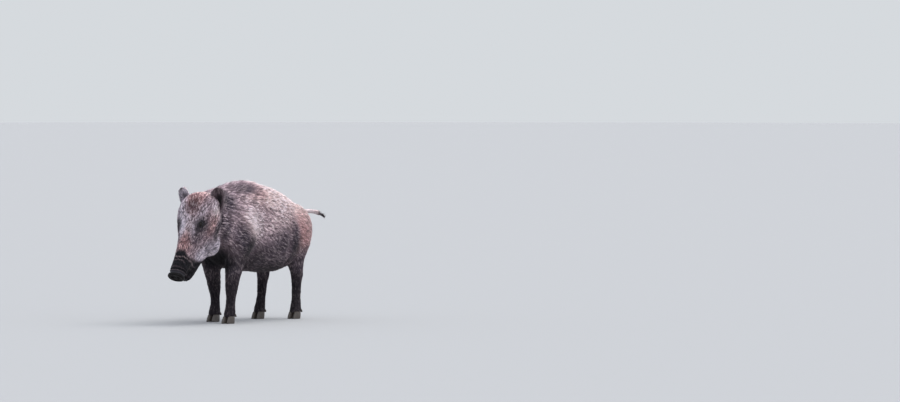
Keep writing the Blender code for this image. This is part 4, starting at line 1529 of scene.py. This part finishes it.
FEET = {
    "fore_left": (0.085, -0.337),
    "fore_right": (-0.085, -0.203),
    "hind_left": (0.075, 0.289),
    "hind_right": (-0.075, 0.195),
}
HOOF_TOP, HOOF_SPREAD, HOOF_LEAN = 36 * MM, 15 * MM, 11 * MM
# How much wider the heel is and narrower the toe, and half the width and length below and above
HOOF_HEEL, HOOF_SOLE, HOOF_CORONET = 0.25, (0.0128, 0.0285), (0.0122, 0.0215)
HOOF_RINGS, HOOF_POINTS = 14, 40
# Places back, up and aside
DEWCLAW_ROOT, DEWCLAW_POINT = (0.004, 0.062, 0.0140), (0.035, 0.0318, 0.021)
DEWCLAW_RADIUS, DEWCLAW_RINGS, DEWCLAW_POINTS = 8.2 * MM, 12, 28
# How thick a dewclaw is, by share of its length
DEWCLAW_SHAPE = ((0, 0.95), (0.5, 1.03), (0.8, 0.82), (0.93, 0.55), (1, 0.12))


def tube(rings):
    """Points and faces of a closed body through rings of equal count."""
    points = np.concatenate((*rings, [rings[0].mean(0)], [rings[-1].mean(0)]))
    return points, closed_faces(len(rings), len(rings[0]))


def hoof_form(sideways, y):
    """One half of the cloven hoof: flat sole, rounded wall, a domed top inside the leg."""
    rings = []
    c, s = (squared(values, 2.2) for values in turns(HOOF_POINTS))
    for share in np.linspace(0, 1, HOOF_RINGS):
        half_width, half_length = (p + (q - p) * share for p, q in zip(HOOF_SOLE, HOOF_CORONET))
        bulge = 1 + 0.05 * sin(pi * min(share * 1.2, 1)) - 0.05 * (1 - step(share, 0, 0.10))
        size = (bulge - 0.25 * step(share, 0.90, 1.0)) * (1 + 0.010 * np.sin(share * 46))
        centre = np.array((sideways, y - HOOF_LEAN * (1 - share), HOOF_TOP * share))
        ring = np.stack((half_width * c * (1 + HOOF_HEEL * s) * size, half_length * s * size, 0 * s), 1)
        rings.append(centre + ring)
    return tube(rings)


def dewclaw_form(sideways, out, y):
    """One dewclaw, a blunt cone that points down and back."""
    (root_y, root_z, root_x), (point_y, point_z, point_x) = DEWCLAW_ROOT, DEWCLAW_POINT
    root = np.array((sideways + out * root_x, y + root_y, root_z))
    point = np.array((sideways + out * point_x, y + point_y, point_z))
    over = unit(np.cross(point - root, LEFT))
    c, s = turns(DEWCLAW_POINTS)
    round_it = np.outer(c, LEFT) + np.outer(s, over) * 0.85
    rings = []
    for share in np.linspace(0, 1, DEWCLAW_RINGS):
        radius = DEWCLAW_RADIUS * np.interp(share, *zip(*DEWCLAW_SHAPE))
        rings.append(root + (point - root) * share + round_it * radius)
    return tube(rings)


def make_foot(name, sideways, y, material):
    """The hooves and dewclaws of one foot."""
    outside = 1 if sideways > 0 else -1
    points, faces = np.zeros((0, 3)), np.zeros((0, 3), int)
    for out in (-outside, outside):
        for form in (hoof_form(sideways + out * HOOF_SPREAD, y), dewclaw_form(sideways, out, y)):
            faces = np.concatenate((faces, form[1] + len(points)))
            points = np.concatenate((points, form[0]))
    mesh = mesh_from(f"hooves_{name}", points, faces)
    piece = add_object(f"hooves_{name}", mesh, material)
    nodes = [f"{kind}_{name}_{toe}" for kind in ("hoof", "dewclaw") for toe in ("inner", "outer")]
    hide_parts(*nodes)
    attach(piece, "root")


# ---------------------------------------------------------------- the whole boar


def make_boar():
    group = coat_markings()
    coat, hide = coat_material(group), skin_material(group)
    skin = make_skin()
    for k, name in enumerate(MARK_NAMES):
        give(skin.mesh, name, skin.marks[:, k])
    give(skin.mesh, "bare", skin.bare)
    piece = add_object("skin", skin.mesh, hide)
    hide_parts(*FLESH, "ear_left", "ear_right")
    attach(piece, "root")
    make_coat(skin, coat)
    glaze = eye_material()
    for side in (-1, 1):
        make_eye(side, glaze)
    make_disc(wet_skin_material())
    horn = horn_material()
    for name, (sideways, y) in FEET.items():
        make_foot(name, sideways, y, horn)


make_camera()
make_room()
make_lamps()
make_boar()

bpy.context.view_layer.update()
